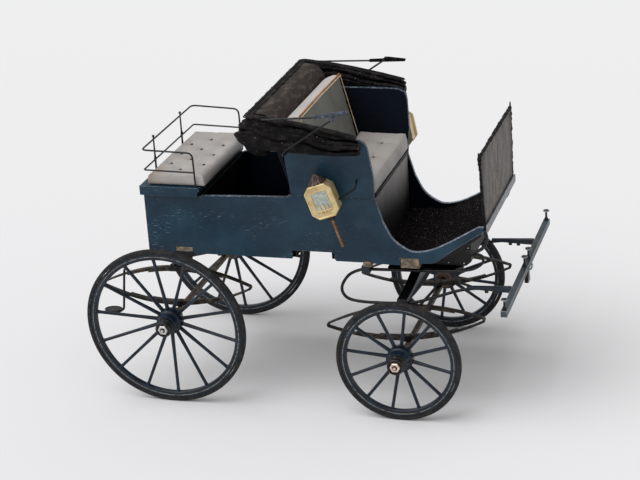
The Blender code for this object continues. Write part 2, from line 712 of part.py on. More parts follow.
def build_hood(hood, rods):
    """The folded hood: an arm down each side of the seat and a thick roll across its back."""
    back = [(91.6, 251.8), (78, 254.3), (70.5, 254), (66.8, 248), (66.5, 236.6), (71, 229.5), (77.5, 226.1)]
    arm = prism([(92.4, 222.6), (109, 223.3), (168.8, 221), (172.5, 229), (170.5, 237), (124.6, 245.3), *back], -HOOD_OUTER_Y, -HOOD_INNER_Y)
    roll = prism([(92.2, 226.2), (92.2, 251), *back], -HOOD_INNER_Y - 1, HOOD_INNER_Y + 1)
    add_node("hood_stack", fused(roll, arm, mirrored(arm)), "hood_leather", hood, HOOD_PIVOT)

    x, _, z = ROD_PIVOT
    pin_x, pin_z = 109.6, 220.3
    for side, sign in SIDES.items():
        foot_y = -lean(QUARTER_BASE_Y, pin_z) - 0.5
        route = [(x, -STRUT_Y, z), (110.4, -STRUT_Y, 224.6), (pin_x, -STRUT_Y, pin_z), (pin_x, foot_y, pin_z)]
        strut = wire(bent(route, 2.4), 0.8)
        knuckle = cylinder((x, -STRUT_Y + 0.8, z), (x, -ROD_Y + 1.2, z), 1.6, 10)
        add_node(f"landau_strut_{side}", sided(fused(strut, knuckle), sign), "black_iron")
        rod = cylinder((95, -ROD_Y, 252.2), (142, -ROD_Y, 254), 0.75, 6)
        lever = prism(
            [(137.5, 252.9), (150, 251.4), (154.5, 251), (166.5, 258.8), (164.8, 261.4), (153, 255.8), (137.5, 255.1)],
            -ROD_Y - 0.9,
            -ROD_Y + 0.9,
        )
        add_node(f"landau_rod_{side}", sided(fused(lever, rod), sign), "black_iron", rods[side], (x, 0.0, z))


def octagon(width, height, cut):
    w, h = width / 2, height / 2
    return [(-w + cut, -h), (w - cut, -h), (w, -h + cut), (w, h - cut), (w - cut, h), (-w + cut, h), (-w, h - cut), (-w, -h + cut)]


def build_lamps(pivots):
    """Carriage lamps: a gilt octagonal case with a sunk window, a pleated cone on top and a stem below."""
    for side, sign in SIDES.items():
        x, z, tilt = LAMP_PLACES[side]
        centre = Vector((x, -LAMP_Y, z))
        front = prism(octagon(LAMP_WIDTH, LAMP_HEIGHT, 5), -6.4, -3.2)
        box = prism(octagon(22.5, 31.0, 4.4), -3.6, 7.4)
        window = prism(octagon(15.5, 21.5, 2.6), -7, -5.2)
        case = combined("DIFFERENCE", fused(box, front), window)
        chimney = cylinder((0, 1.4, 16.05), (0, 1.4, 22.5), 6.8, 12, 0.8)
        stem = fused(
            cylinder((0, 1.4, -16.05), (0, 1.4, -18.4), 3.2, 12),
            cylinder((0, 1.4, -17.6), (0, 1.4, -43), 1.3, 10),
        )
        for mesh in (case, chimney, stem):
            mesh.transform(Matrix.Translation(centre) @ Matrix.Rotation(-tilt, 4, "Y"))
        pivot_y = lean(QUARTER_BASE_Y, LAMP_PIVOT_Z) + GAP
        if side == "right":
            hook = [(147, -69.4, 179), (163.4, -69.4, 190.4), (164.4, -68.4, 194)]
        else:
            hook = [(165.4, -68, 194)]
        hook = wire(bent([*hook, (LAMP_PIVOT_X, -pivot_y, LAMP_PIVOT_Z)], 3), 0.8)
        pivot = (LAMP_PIVOT_X, 0.0, LAMP_PIVOT_Z)
        parts = {"case": (fused(case, hook), "lamp_gilt"), "chimney": (chimney, "copper"), "stem": (stem, "copper")}
        for name, (mesh, finish) in parts.items():
            add_node(f"lamp_{name}_{side}", sided(mesh, sign), finish, pivots[side], pivot)


clear_scene()
FINISH = {name: make_finish(name) for name in FINISHES}
build_body()
build_upholstery()
build_seat_rail()
build_dash()
build_rear_gear()
fore_carriage = make_pivot("fore_carriage", KINGPIN)
build_fore_carriage(fore_carriage)
build_wheels(fore_carriage)
build_hood(
    make_pivot("hood", HOOD_PIVOT),
    {side: make_pivot(f"rod_pivot_{side}", ROD_PIVOT) for side in SIDES},
)
build_lamps({side: make_pivot(f"lamp_pivot_{side}", (LAMP_PIVOT_X, 0.0, LAMP_PIVOT_Z)) for side in SIDES})
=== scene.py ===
"""Looks of the phaeton scale model: painted boards, leather seats, folded hood, wire rails and wooden wheels.

The sizes are carriage millimetres: x is measured forward from the rear axle, y to the carriage's left and z up
from the ground. The frame's origin lies 110 mm ahead of the rear axle, and its unit is the metre.
"""

import math

import bmesh
import bpy
import numpy as np
from mathutils import Matrix, Vector


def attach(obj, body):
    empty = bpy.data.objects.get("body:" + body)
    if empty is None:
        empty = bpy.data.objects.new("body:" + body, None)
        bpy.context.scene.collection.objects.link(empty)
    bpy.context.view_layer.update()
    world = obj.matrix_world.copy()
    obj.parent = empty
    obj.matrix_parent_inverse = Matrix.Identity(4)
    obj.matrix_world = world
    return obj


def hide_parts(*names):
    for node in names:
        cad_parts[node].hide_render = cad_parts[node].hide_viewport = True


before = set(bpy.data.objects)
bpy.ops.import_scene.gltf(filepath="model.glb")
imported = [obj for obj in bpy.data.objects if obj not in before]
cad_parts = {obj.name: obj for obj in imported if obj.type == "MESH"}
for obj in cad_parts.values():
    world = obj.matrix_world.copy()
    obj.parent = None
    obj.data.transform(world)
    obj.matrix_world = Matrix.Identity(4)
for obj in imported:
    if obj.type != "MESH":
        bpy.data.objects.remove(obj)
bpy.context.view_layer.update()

MM = 0.001
MERGE_WITHIN = 2e-6
CREASE = 34.0
ORIGIN = np.array([110.0, 0.0, 0.0])
SIDES = {"right": 1.0, "left": -1.0}  # pieces are drawn on the right side, and y is turned over for the left


# Camera, floor and light

WORLD_LIGHT, SKY_SEEN = 0.5, 0.84
LAMP_LIGHT, LAMP_SPREAD = 1.9, 60
LAMP_WAY = (-0.42, -0.30, 0.85)
FLOOR_HALF, FLOOR_NEAR, FLOOR_FAR = 8.0, -0.4, 1.0
VIEW_TURN = (17.56, 21.604, -3.658)  # azimuth, elevation and roll in degrees
VIEW_TARGET, VIEW_DISTANCE = (109.69, 0.0, 116.16), 1.5322
LENS, SENSOR = 101.02, 36.0


def to_frame(point):
    return Vector((np.asarray(point, float) - ORIGIN) * MM)


def add_camera():
    """The photograph's view, turned and raised round a point on the carriage."""
    azimuth, elevation, roll = (math.radians(angle) for angle in VIEW_TURN)
    level = math.cos(elevation)
    back = Vector((math.sin(azimuth) * level, -math.cos(azimuth) * level, math.sin(elevation)))
    camera = bpy.data.objects.new("camera", bpy.data.cameras.new("camera"))
    camera.data.sensor_width = SENSOR
    camera.data.lens = LENS
    camera.data.clip_start = 0.05
    camera.data.clip_end = 50.0
    right = Vector((math.cos(azimuth), math.sin(azimuth), 0.0))
    up = back.cross(right)
    turned_right = right * math.cos(roll) + up * math.sin(roll)
    turned_up = up * math.cos(roll) - right * math.sin(roll)
    turn = Matrix((turned_right, turned_up, back)).transposed().to_4x4()
    camera.matrix_world = Matrix.Translation(to_frame(VIEW_TARGET) + back * VIEW_DISTANCE) @ turn
    bpy.context.collection.objects.link(camera)
    bpy.context.scene.camera = camera


def srgb(red, green, blue):
    """A colour as it is read off a screen, 0 to 255, as the linear colour that shaders take."""
    value = np.array([red, green, blue]) / 255.0
    linear = np.where(value <= 0.04045, value / 12.92, ((value + 0.055) / 1.055) ** 2.4)
    return (*(float(part) for part in linear), 1.0)


def node(tree, kind, inputs=(), **settings):
    """A shader node. Inputs are (socket, value) pairs, where a value is a number, a colour or another
    socket."""
    made = tree.nodes.new("ShaderNode" + kind)
    for name, value in settings.items():
        setattr(made, name, value)
    for name, value in inputs:
        if isinstance(value, bpy.types.NodeSocket):
            tree.links.new(value, made.inputs[name])
        else:
            made.inputs[name].default_value = value
    return made


def blended(tree, share, first, second):
    """Two colours mixed. The colour sockets of a Mix node are its seventh and eighth."""
    made = node(tree, "Mix", [(0, share), (6, first), (7, second)], data_type="RGBA")
    return made.outputs[2]


def add_floor():
    """A nearly even pale floor under a white sky that the camera sees as pale grey."""
    material = bpy.data.materials.new("pale_floor")
    material.use_nodes = True
    tree = material.node_tree
    shader = tree.nodes["Principled BSDF"]
    place = node(tree, "SeparateXYZ", [("Vector", node(tree, "TexCoord").outputs["Object"])])
    depth = [("Value", place.outputs["Y"]), ("From Min", FLOOR_NEAR), ("From Max", FLOOR_FAR)]
    far = node(tree, "MapRange", depth)
    tone = blended(tree, far.outputs["Result"], srgb(235, 234, 236), srgb(237, 237, 238))
    tree.links.new(tone, shader.inputs["Base Color"])
    shader.inputs["Roughness"].default_value = 0.9
    shader.inputs["Specular IOR Level"].default_value = 0.0
    half = FLOOR_HALF
    corners = [(-half, -half, 0), (half, -half, 0), (half, half, 0), (-half, half, 0)]
    mesh = bpy.data.meshes.new("floor")
    mesh.from_pydata(corners, [], [(0, 1, 2, 3)])
    mesh.materials.append(material)
    floor = bpy.data.objects.new("floor", mesh)
    bpy.context.collection.objects.link(floor)

    world = bpy.data.worlds.new("studio")
    world.use_nodes = True
    background = world.node_tree.nodes["Background"]
    tree = world.node_tree
    path = node(tree, "LightPath")
    rays = [(0, path.outputs["Is Camera Ray"]), (1, path.outputs["Is Transmission Ray"])]
    seen = node(tree, "Math", rays, operation="MAXIMUM")
    light = [("Value", seen.outputs[0]), ("To Min", WORLD_LIGHT), ("To Max", SKY_SEEN)]
    tree.links.new(node(tree, "MapRange", light).outputs["Result"], background.inputs["Strength"])
    background.inputs["Color"].default_value = (1.0, 1.0, 1.0, 1.0)
    bpy.context.scene.world = world


def add_lamp():
    """One broad soft lamp, high on the rear right of the carriage."""
    lamp = bpy.data.objects.new("soft_lamp", bpy.data.lights.new("soft_lamp", "SUN"))
    lamp.data.energy = LAMP_LIGHT
    lamp.data.angle = math.radians(LAMP_SPREAD)
    lamp.rotation_mode = "QUATERNION"
    lamp.rotation_quaternion = Vector(LAMP_WAY).to_track_quat("Z", "Y")
    bpy.context.collection.objects.link(lamp)


bpy.context.scene.view_settings.view_transform = "Standard"
add_camera()
add_floor()
add_lamp()


# Finishes


class Finish:
    """A material in the making: its shader, and short calls for the patterns that the finishes share."""

    def __init__(self, name, roughness=0.5, metallic=0.0, specular=0.5):
        self.material = bpy.data.materials.new(name)
        self.material.use_nodes = True
        self.tree = self.material.node_tree
        self.shader = self.tree.nodes["Principled BSDF"]
        self.shader.inputs["Roughness"].default_value = roughness
        self.shader.inputs["Metallic"].default_value = metallic
        self.shader.inputs["Specular IOR Level"].default_value = specular

    def grain(self, scale, detail=3.0, rough=0.55, stretch=(1.0, 1.0, 1.0)):
        """Noise on Object coordinates, in metres, stretched along the axes."""
        spot = node(self.tree, "TexCoord").outputs["Object"]
        spot = node(self.tree, "Mapping", [("Vector", spot), ("Scale", stretch)]).outputs["Vector"]
        inputs = [("Vector", spot), ("Scale", scale), ("Detail", detail), ("Roughness", rough)]
        return node(self.tree, "TexNoise", inputs).outputs[0]

    def cells(self, scale):
        spot = node(self.tree, "TexCoord").outputs["Object"]
        return node(self.tree, "TexVoronoi", [("Vector", spot), ("Scale", scale)]).outputs["Distance"]

    def patches(self, low, high, *grain, **stretch):
        """The grain, cut to a band: 0 where it is under low, and 1 where it is over high."""
        return self.band(self.grain(*grain, **stretch), low, high)

    def dots(self, scale, edge, core):
        """Small round spots: 0 beyond the edge's distance from a spot's middle, and 1 within the core's."""
        return self.band(self.cells(scale), edge, core)

    def band(self, value, low, high, to_low=0.0, to_high=1.0):
        inputs = [
            ("Value", value), ("From Min", low), ("From Max", high), ("To Min", to_low), ("To Max", to_high),
        ]
        return node(self.tree, "MapRange", inputs, interpolation_type="SMOOTHSTEP").outputs["Result"]

    def both(self, first, second, kind="MULTIPLY"):
        return node(self.tree, "Math", [(0, first), (1, second)], operation=kind).outputs[0]

    def mix(self, share, first, second):
        """Two colours mixed, where a colour is a socket or three numbers off a screen."""
        return blended(self.tree, share, *(srgb(*c) if isinstance(c, tuple) else c for c in (first, second)))

    def axis(self, letter):
        spot = node(self.tree, "TexCoord").outputs["Object"]
        return node(self.tree, "SeparateXYZ", [("Vector", spot)]).outputs[letter]

    def bump(self, height, distance, strength=1.0):
        inputs = [("Height", height), ("Distance", distance), ("Strength", strength)]
        return node(self.tree, "Bump", inputs).outputs["Normal"]

    def done(self, colour=None, roughness=None, normal=None):
        for socket, value in (("Base Color", colour), ("Roughness", roughness), ("Normal", normal)):
            if isinstance(value, bpy.types.NodeSocket):
                self.tree.links.new(value, self.shader.inputs[socket])
            elif value is not None:
                self.shader.inputs[socket].default_value = value
        return self.material


def painted_board(name, colour, light, fleck, roughness=0.42, flecks=0.0, specular=0.3):
    """Brushed paint on open-grained wood: long strokes, slow changes of tone, and pale flecks where grain
    shows."""
    made = Finish(name, roughness, specular=specular)
    strokes = made.grain(1.0, 4.0, 0.6, stretch=(60, 60, 900))
    cloud = made.grain(28.0, 3.0)
    tone = made.mix(made.band(cloud, 0.35, 0.7), colour, light)
    pores = made.patches(0.6, 0.68, 1.0, 2.0, 0.5, stretch=(170, 170, 1500))
    if flecks:
        where = made.patches(0.44, 0.6, 22.0, 2.0, stretch=(1, 1, 1.6))
        near_wheel = made.band(made.axis("X"), 0.06, -0.1, 0.12, flecks)
        low = made.band(made.axis("Z"), 0.168, 0.148, 0.25, 1.0)
        where = made.both(made.both(where, near_wheel), low)
        tone = made.mix(made.both(pores, where), tone, fleck)
    specks = made.dots(300.0, 0.07, 0.03)
    tone = made.mix(made.both(specks, 0.5), tone, fleck)
    gloss = made.band(strokes, 0.3, 0.7, roughness - 0.1, roughness + 0.12)
    return made.done(tone, gloss, made.bump(made.both(strokes, made.both(pores, -0.6), "ADD"), 0.00012, 0.5))


def worn_paint(name, colour, bare, low=0.42, high=0.6, scale=420.0, roughness=0.5):
    """Paint rubbed through to a paler ground along an edge, in broken patches."""
    made = Finish(name, roughness)
    rubbed = made.patches(low, high, scale, 4.0, 0.7)
    return made.done(made.mix(rubbed, colour, bare), None, made.bump(rubbed, 0.00005, 0.5))


def board_edge(name):
    """The edges of the body's boards: black below, pale worn blue round the foot well, and rubbed blue
    elsewhere. The pale and rubbed blues are wear and painted highlight on the edges."""
    made = Finish(name, 0.45)
    rubbed = made.patches(0.46, 0.62, 380.0, 4.0, 0.7)
    well = made.both(made.band(made.axis("X"), 0.066, 0.074), made.band(made.axis("Z"), 0.128, 0.133))
    # the pale and rubbed blues are wear and painted highlight along the edges
    pale = made.mix(rubbed, (92, 104, 120), (158, 168, 178))
    tone = made.mix(well, made.mix(rubbed, (30, 48, 64), (112, 124, 132)), pale)
    low = made.band(made.axis("Z"), 0.1262, 0.1236)
    tone = made.mix(low, tone, made.mix(made.both(rubbed, 0.3), (8, 10, 14), (120, 124, 126)))
    return made.done(tone, None, made.bump(rubbed, 0.00005, 0.5))


PEBBLES, PEBBLE_DEPTH = 1500.0, 0.00004


def leather(name, colour, shade, roughness=0.52, grain=PEBBLES, smudge=26.0):
    """Fine pebbled leather with slow smudges of a second tone."""
    made = Finish(name, roughness)
    pebbles = made.cells(grain)
    smudges = made.patches(0.35, 0.72, smudge, 4.0, 0.6)
    fine = made.grain(grain * 0.5, 2.0)
    tone = made.mix(made.band(fine, 0.3, 0.75, 0.0, 0.25), made.mix(smudges, colour, shade), shade)
    gloss = made.band(smudges, 0.0, 1.0, roughness - 0.06, roughness + 0.1)
    return made.done(tone, gloss, made.bump(pebbles, PEBBLE_DEPTH, 0.7))


def rear_seat_leather():
    """Pale grey leather with a brown stain at the rear right corner."""
    made = Finish("rear_seat_leather", 0.5)
    smudges = made.patches(0.35, 0.72, 30.0, 4.0, 0.6)
    tone = made.mix(smudges, (178, 173, 169), (160, 153, 149))
    ragged = made.both(made.grain(60.0, 4.0), 0.03)
    stain_x = made.band(made.both(made.axis("X"), ragged, "ADD"), -0.098, -0.112)
    stain_y = made.band(made.both(made.axis("Y"), ragged, "ADD"), -0.018, -0.04)
    tone = made.mix(made.both(made.both(stain_x, stain_y), 0.6), tone, (150, 116, 84))
    return made.done(tone, None, made.bump(made.cells(PEBBLES), PEBBLE_DEPTH, 0.7))


def dusty_leather(name, colour, painted_sheen, dust, amount=0.9, roughness=0.5, specks=260.0):
    """Black hood leather: creases with a dull shine painted into the colour, and small pale specks of dust."""
    made = Finish(name, roughness, specular=0.14)
    creases = made.grain(150.0, 5.0, 0.6, stretch=(1, 0.6, 1.6))
    # painted sheen: the creases' ridges are lightened in the colour
    tone = made.mix(made.band(creases, 0.45, 0.75), colour, painted_sheen)
    bits = made.dots(specks, 0.11, 0.05)
    gathered = made.band(made.grain(60.0, 2.0), 0.42, 0.6, 0.15, amount)
    tone = made.mix(made.both(bits, gathered), tone, dust)
    height = made.both(creases, made.both(made.grain(1500.0, 3.0), 0.3), "ADD")
    gloss = made.band(creases, 0.3, 0.8, roughness + 0.1, roughness - 0.12)
    return made.done(tone, gloss, made.bump(height, 0.0005, 0.7))


def worn_metal(name, colour, bare, metallic, roughness, low, high, scale=260.0):
    """Darkened metal with rubbed brown or bright places."""
    made = Finish(name, roughness, metallic)
    rubbed = made.patches(low, high, scale, 5.0, 0.7)
    fine = made.grain(2200.0, 2.0)
    gloss = made.band(fine, 0.3, 0.7, roughness - 0.08, roughness + 0.12)
    return made.done(made.mix(rubbed, colour, bare), gloss, made.bump(fine, 0.00003, 0.6))


def end_grain(name, black_below=0.0):
    """Scraped end grain of a cross timber: pale brown ground with dark pits, painted black below a
    height."""
    made = Finish(name, 0.8)
    pits = made.dots(520.0, 0.28, 0.12)
    tone = made.mix(made.patches(0.35, 0.7, 300.0, 4.0), (96, 86, 72), (150, 138, 118))
    tone = made.mix(pits, tone, (50, 44, 38))
    ragged = made.both(made.grain(400.0, 4.0), 0.002)
    paint = made.band(made.both(made.axis("Z"), ragged, "ADD"), black_below + 0.0014, black_below + 0.0004)
    tone = made.mix(paint, tone, (12, 12, 13))
    return made.done(tone, None, made.bump(pits, -0.0003, 0.8))


def felt_finish():
    """Black felt with a matted nap and clumps of pale fibres."""
    made = Finish("felt", 0.95, specular=0.05)
    nap = made.grain(900.0, 5.0, 0.75)
    fibres = made.dots(420.0, 0.22, 0.1)
    clumps = made.patches(0.36, 0.6, 90.0, 3.0)
    tone = made.mix(made.band(nap, 0.47, 0.68), (6, 5, 7), (62, 56, 57))
    tone = made.mix(made.both(fibres, clumps), tone, (132, 124, 118))
    return made.done(tone, None, made.bump(nap, 0.002, 1.0))


def riser_finish():
    """The seat's front board: grey paint under the cushion, with painted shade darkening it to black towards the
    floor and the right side."""
    made = Finish("seat_riser_paint", 0.55)
    height = made.both(made.axis("Z"), made.both(made.axis("Y"), 0.2), "ADD")
    ragged = made.both(made.grain(55.0, 4.0), 0.018)
    # lit is where the grey paint shows; below it the colour is painted shade, down to black
    lit = made.band(made.both(height, ragged, "ADD"), 0.15, 0.196)
    tone = made.mix(lit, (12, 13, 16), (146, 142, 139))
    return made.done(tone, None, made.bump(made.grain(900.0), 0.00006, 0.6))


def bright_metal(name, colour, shade, roughness=0.3, metallic=0.75):
    made = Finish(name, roughness, metallic)
    tone = made.mix(made.patches(0.4, 0.7, 160.0, 4.0), colour, shade)
    return made.done(tone, None, made.bump(made.grain(700.0, 2.0), 0.00008, 0.5))


def mirror_finish():
    """The lamp's silvered glass, clouded in patches."""
    made = Finish("mirror", 0.18, 0.8)
    cloud = made.grain(420.0, 4.0, 0.7)
    tone = made.mix(made.band(cloud, 0.35, 0.7), (150, 160, 152), (196, 202, 190))
    return made.done(tone, made.band(cloud, 0.3, 0.7, 0.1, 0.4))


def dash_finish():
    """Grey dash leather: blotches, coarse grain, pale rubbed spots, and painted shade as dark bands at both
    sides.
    """
    made = Finish("dash_leather", 0.6, specular=0.2)
    streaks = made.grain(1.0, 5.0, 0.6, stretch=(1, 150, 60))
    weave = made.grain(760.0, 4.0, 0.75)
    tone = made.mix(made.band(streaks, 0.3, 0.7), (92, 87, 83), (142, 135, 128))
    tone = made.mix(made.band(weave, 0.42, 0.62, 0.0, 0.75), tone, (66, 62, 60))
    # painted shade: dark bands near both laced sides
    for inner, outer in ((-0.043, -0.062), (0.043, 0.062)):
        tone = made.mix(made.band(made.axis("Y"), inner, outer, 0.0, 0.7), tone, (50, 47, 46))
    spots = made.dots(300.0, 0.1, 0.04)
    tone = made.mix(made.both(spots, 0.6), tone, (168, 156, 142))
    return made.done(tone, None, made.bump(weave, 0.0003, 0.8))


def chipped(name, roughness, specular, tones, patches, chip, dots, share, grain, bump):
    """Rubber or gloss paint with a second tone in patches and small pale chips."""
    made = Finish(name, roughness, specular=specular)
    tone = made.mix(made.patches(*patches), *tones)
    tone = made.mix(made.both(made.dots(*dots), share), tone, chip)
    return made.done(tone, None, made.bump(made.grain(*grain), *bump))


BODY_BLUE = (16, 44, 62)
PALE_FLECK = (118, 136, 152)
# colour, lighter tone and colour of the flecks, then roughness, amount of flecks and specular level
PAINTED_BOARDS = {
    "body_paint": (BODY_BLUE, (32, 63, 81), PALE_FLECK, 0.42, 1.0),
    "inside_paint": ((4, 9, 18), (8, 16, 28), (84, 96, 108), 0.5, 0.0, 0.1),
    "boot_paint": ((2, 3, 4), (5, 6, 8), (30, 32, 36), 0.7, 0.0, 0.08),
    "fore_paint": ((30, 40, 50), (52, 62, 72), (140, 146, 150)),
    "bolster_face": ((56, 60, 68), (74, 78, 86), (130, 132, 136)),
    "bar_paint": ((56, 66, 74), (72, 82, 90), (120, 128, 132)),
}
CHIPPED = {
    "tyre": {
        "roughness": 0.7,
        "specular": 0.2,
        "tones": ((33, 32, 33), (58, 56, 56)),
        "patches": (0.38, 0.72, 200.0, 5.0, 0.7),
        "chip": (170, 170, 165),
        "dots": (210.0, 0.08, 0.03),
        "share": 0.7,
        "grain": (900.0, 4.0),
        "bump": (0.0002, 0.7),
    },
    "wheel_paint": {
        "roughness": 0.32,
        "specular": 0.35,
        "tones": ((8, 18, 31), (24, 40, 56)),
        "patches": (0.35, 0.7, 110.0, 4.0),
        "chip": (150, 146, 132),
        "dots": (190.0, 0.075, 0.03),
        "share": 0.8,
        "grain": (700.0, 3.0),
        "bump": (0.0001, 0.6),
    },
}
# paint and bare ground, then where the wear begins and is full in the grain, its scale and the roughness
WORN_PAINTS = {
    "edge_paint": ((34, 54, 70), (140, 152, 160), 0.46, 0.62),
    "dark_edge": ((10, 14, 20), (70, 80, 88), 0.55, 0.7),
    "dash_strip": ((108, 114, 120), (158, 162, 166), 0.4, 0.7),
    "under_wood": ((6, 6, 6), (30, 26, 22), 0.5, 0.75, 90.0, 0.6),
    "bar_edge": ((130, 136, 138), (180, 184, 184), 0.3, 0.6),
    "cream_line": ((32, 42, 50), (132, 130, 116), 0.38, 0.56),
}
# colour and second tone, then roughness, scale of the pebbles and scale of the smudges
LEATHERS = {
    "seat_leather": ((176, 172, 168), (158, 151, 146)),
    # squab face: a darker tone that is partly the leather's own and partly painted shade
    "squab_face_and_painted_shade": ((126, 126, 119), (104, 104, 99)),
    "squab_band": ((196, 192, 190), (182, 176, 174)),
    "raw_leather": ((196, 132, 62), (150, 94, 44), 0.6, 900.0, 200.0),
    "cream_thread": ((228, 208, 176), (198, 170, 130), 0.7, 1200.0, 200.0),
    # dimple buttons: dark colour that is painted shade in the dimples
    "dimple_painted_shade": ((74, 66, 62), (40, 36, 34), 0.6),
    "grey_button": ((126, 121, 117), (92, 88, 84), 0.6),
}
# colour, painted sheen on the creases and dust, then the dust's amount, the roughness and the scale of the
# specks
HOOD_LEATHERS = {
    "hood_leather": ((6, 4, 6), (36, 30, 33), (206, 200, 194)),
    "hood_strip": ((8, 6, 7), (44, 38, 36), (170, 160, 150), 0.5),
    "hood_lining": ((60, 53, 50), (96, 87, 82), (170, 162, 156), 0.7, 0.8, 420.0),
    "bound_leather": ((12, 11, 12), (44, 42, 43), (120, 112, 104), 0.4),
}
# colour and bare metal, then metallic, roughness, where the wear begins and is full, and its scale
WORN_METALS = {
    "post_wood": ((58, 34, 26), (96, 62, 48), 0.0, 0.4, 0.4, 0.7),
    "iron": ((10, 10, 12), (60, 58, 56), 0.2, 0.26, 0.6, 0.75),
    "rail_iron": ((14, 15, 17), (110, 110, 108), 0.2, 0.3, 0.6, 0.72, 500.0),
    "lever_iron": ((34, 40, 52), (98, 108, 128), 0.2, 0.42, 0.42, 0.66, 380.0),
    "spring_steel": ((26, 24, 23), (98, 84, 70), 0.35, 0.45, 0.46, 0.72, 150.0),
    "axle_brown": ((60, 55, 47), (106, 94, 78), 0.2, 0.6, 0.38, 0.66, 170.0),
    "hub_black": ((14, 13, 14), (70, 64, 62), 0.1, 0.42, 0.5, 0.7),
    "hub_wood": ((66, 50, 42), (108, 86, 70), 0.0, 0.7, 0.4, 0.65),
    "copper": ((128, 88, 56), (190, 156, 118), 0.5, 0.38, 0.5, 0.72),
    "chimney": ((62, 46, 42), (132, 112, 100), 0.4, 0.45, 0.45, 0.7, 400.0),
}
# colour and shade, then roughness and metallic
BRIGHT_METALS = {
    # screw heads: near white, partly bright metal and partly a painted glint
    "screw_head_and_painted_glint": ((214, 210, 204), (150, 146, 140), 0.4, 0.3),
    "silver_nut": ((212, 210, 206), (170, 168, 162), 0.35),
    "brass_nut": ((232, 212, 196), (206, 178, 156), 0.35),
    "gilt": ((222, 200, 150), (198, 170, 118), 0.38, 0.45),
}
FINISHES = {
    "board_edge": board_edge("board_edge"),
    "riser_paint_and_painted_shade": riser_finish(),
    "rear_seat_leather": rear_seat_leather(),
    "dash_leather": dash_finish(),
    "felt": felt_finish(),
    "bare_wood": end_grain("bare_wood"),
    "mirror": mirror_finish(),
    "rear_timber": end_grain("rear_timber", 0.1238),
    **{name: chipped(name, **values) for name, values in CHIPPED.items()},
}
for maker, rows in (
    (painted_board, PAINTED_BOARDS),
    (worn_paint, WORN_PAINTS),
    (leather, LEATHERS),
    (dusty_leather, HOOD_LEATHERS),
    (worn_metal, WORN_METALS),
    (bright_metal, BRIGHT_METALS),
):
    FINISHES |= {name: maker(name, *row) for name, row in rows.items()}


# Shapes as arrays. A part is its points and a list of (faces, finish numbers).


def rounded(points, bend, steps=4):
    """A closed outline with curved corners, (1-t)^2 a + 2t(1-t) corner + t^2 b, where a and b lie a bend
    away."""
    corner = np.asarray(points, float)
    before, after = np.roll(corner, 1, 0) - corner, np.roll(corner, -1, 0) - corner
    run_in, run_out = (np.linalg.norm(way, axis=1, keepdims=True) for way in (before, after))
    reach = np.minimum(np.reshape(bend, (-1, 1)), 0.49 * np.minimum(run_in, run_out))
    a, b = corner + before / run_in * reach, corner + after / run_out * reach
    t = np.linspace(0, 1, steps + 1)[None, :, None]
    curve = a[:, None] * (1 - t) ** 2 + corner[:, None] * 2 * t * (1 - t) + b[:, None] * t**2
    return curve.reshape(-1, corner.shape[1])


def bent(points, bend, steps=6):
    """An open route of straight runs whose inner corners are rounded in the same way."""
    path = np.asarray(points, float)
    curve = rounded(path, bend, steps).reshape(len(path), steps + 1, -1)
    return np.vstack([path[:1], curve[1:-1].reshape(-1, path.shape[1]), path[-1:]])


def smooth(points, steps=8):
    """A Catmull-Rom curve: from b to c it is half of 2b + (c-a)t + (2a-5b+4c-d)t^2 + (3b-a-3c+d)t^3."""
    path = np.asarray(points, float)
    path = np.vstack([2 * path[0] - path[1], path, 2 * path[-1] - path[-2]])
    a, b, c, d = path[:-3, None], path[1:-2, None], path[2:-1, None], path[3:, None]
    t = np.linspace(0, 1, steps, endpoint=False)[None, :, None]
    curve = 0.5 * (2 * b + (c - a) * t + (2 * a - 5 * b + 4 * c - d) * t**2 + (3 * b - a - 3 * c + d) * t**3)
    return np.vstack([curve.reshape(-1, path.shape[1]), path[-2]])


def even(path, step=1.0, count=None):
    """The same route with its points a steady distance apart, found by interpolating along its length."""
    path = np.asarray(path, float)
    along = np.concatenate([[0], np.cumsum(np.linalg.norm(np.diff(path, axis=0), axis=1))])
    marks = np.linspace(0, along[-1], count or max(3, int(along[-1] / step) + 1))
    return np.stack([np.interp(marks, along, path[:, k]) for k in range(path.shape[1])], 1)


def ring(radius, count=12, squash=1.0):
    """A circle, or an ellipse where squash isn't 1."""
    angle = np.arange(count) * 2 * np.pi / count
    return np.stack([radius * np.cos(angle), radius * squash * np.sin(angle)], 1)


def box_section(width, height, bend=0.4):
    w, h = width / 2, height / 2
    return rounded([(-w, -h), (w, -h), (w, h), (-w, h)], bend, 2)


def quads(rows, columns, wrap_rows=False):
    """Faces between neighbouring points of a grid numbered row by row, whose columns close on themselves."""
    row, column = np.meshgrid(np.arange(rows if wrap_rows else rows - 1), np.arange(columns), indexing="ij")
    next_row, next_column = (row + 1) % rows, (column + 1) % columns
    corners = [row * columns + column, row * columns + next_column]
    corners += [next_row * columns + next_column, next_row * columns + column]
    return np.stack(corners, -1).reshape(-1, 4)


def unit(vectors):
    return vectors / np.maximum(np.linalg.norm(vectors, axis=-1, keepdims=True), 1e-9)


def directions(path, side=None):
    """Tangent, across and up at each point of a route. Across is the given side made square to the route,
    or is carried along it without twist."""
    tangent = unit(np.gradient(path, axis=0))
    if side is not None:
        side = np.asarray(side, float)
        across = unit(side - (tangent @ side)[:, None] * tangent)
        return tangent, across, np.cross(tangent, across)
    across = np.zeros_like(path)
    last = np.eye(3)[np.argmin(np.abs(tangent[0]))]
    for index, way in enumerate(tangent):
        last = unit(last - (last @ way) * way)
        across[index] = last
    return tangent, across, np.cross(tangent, across)


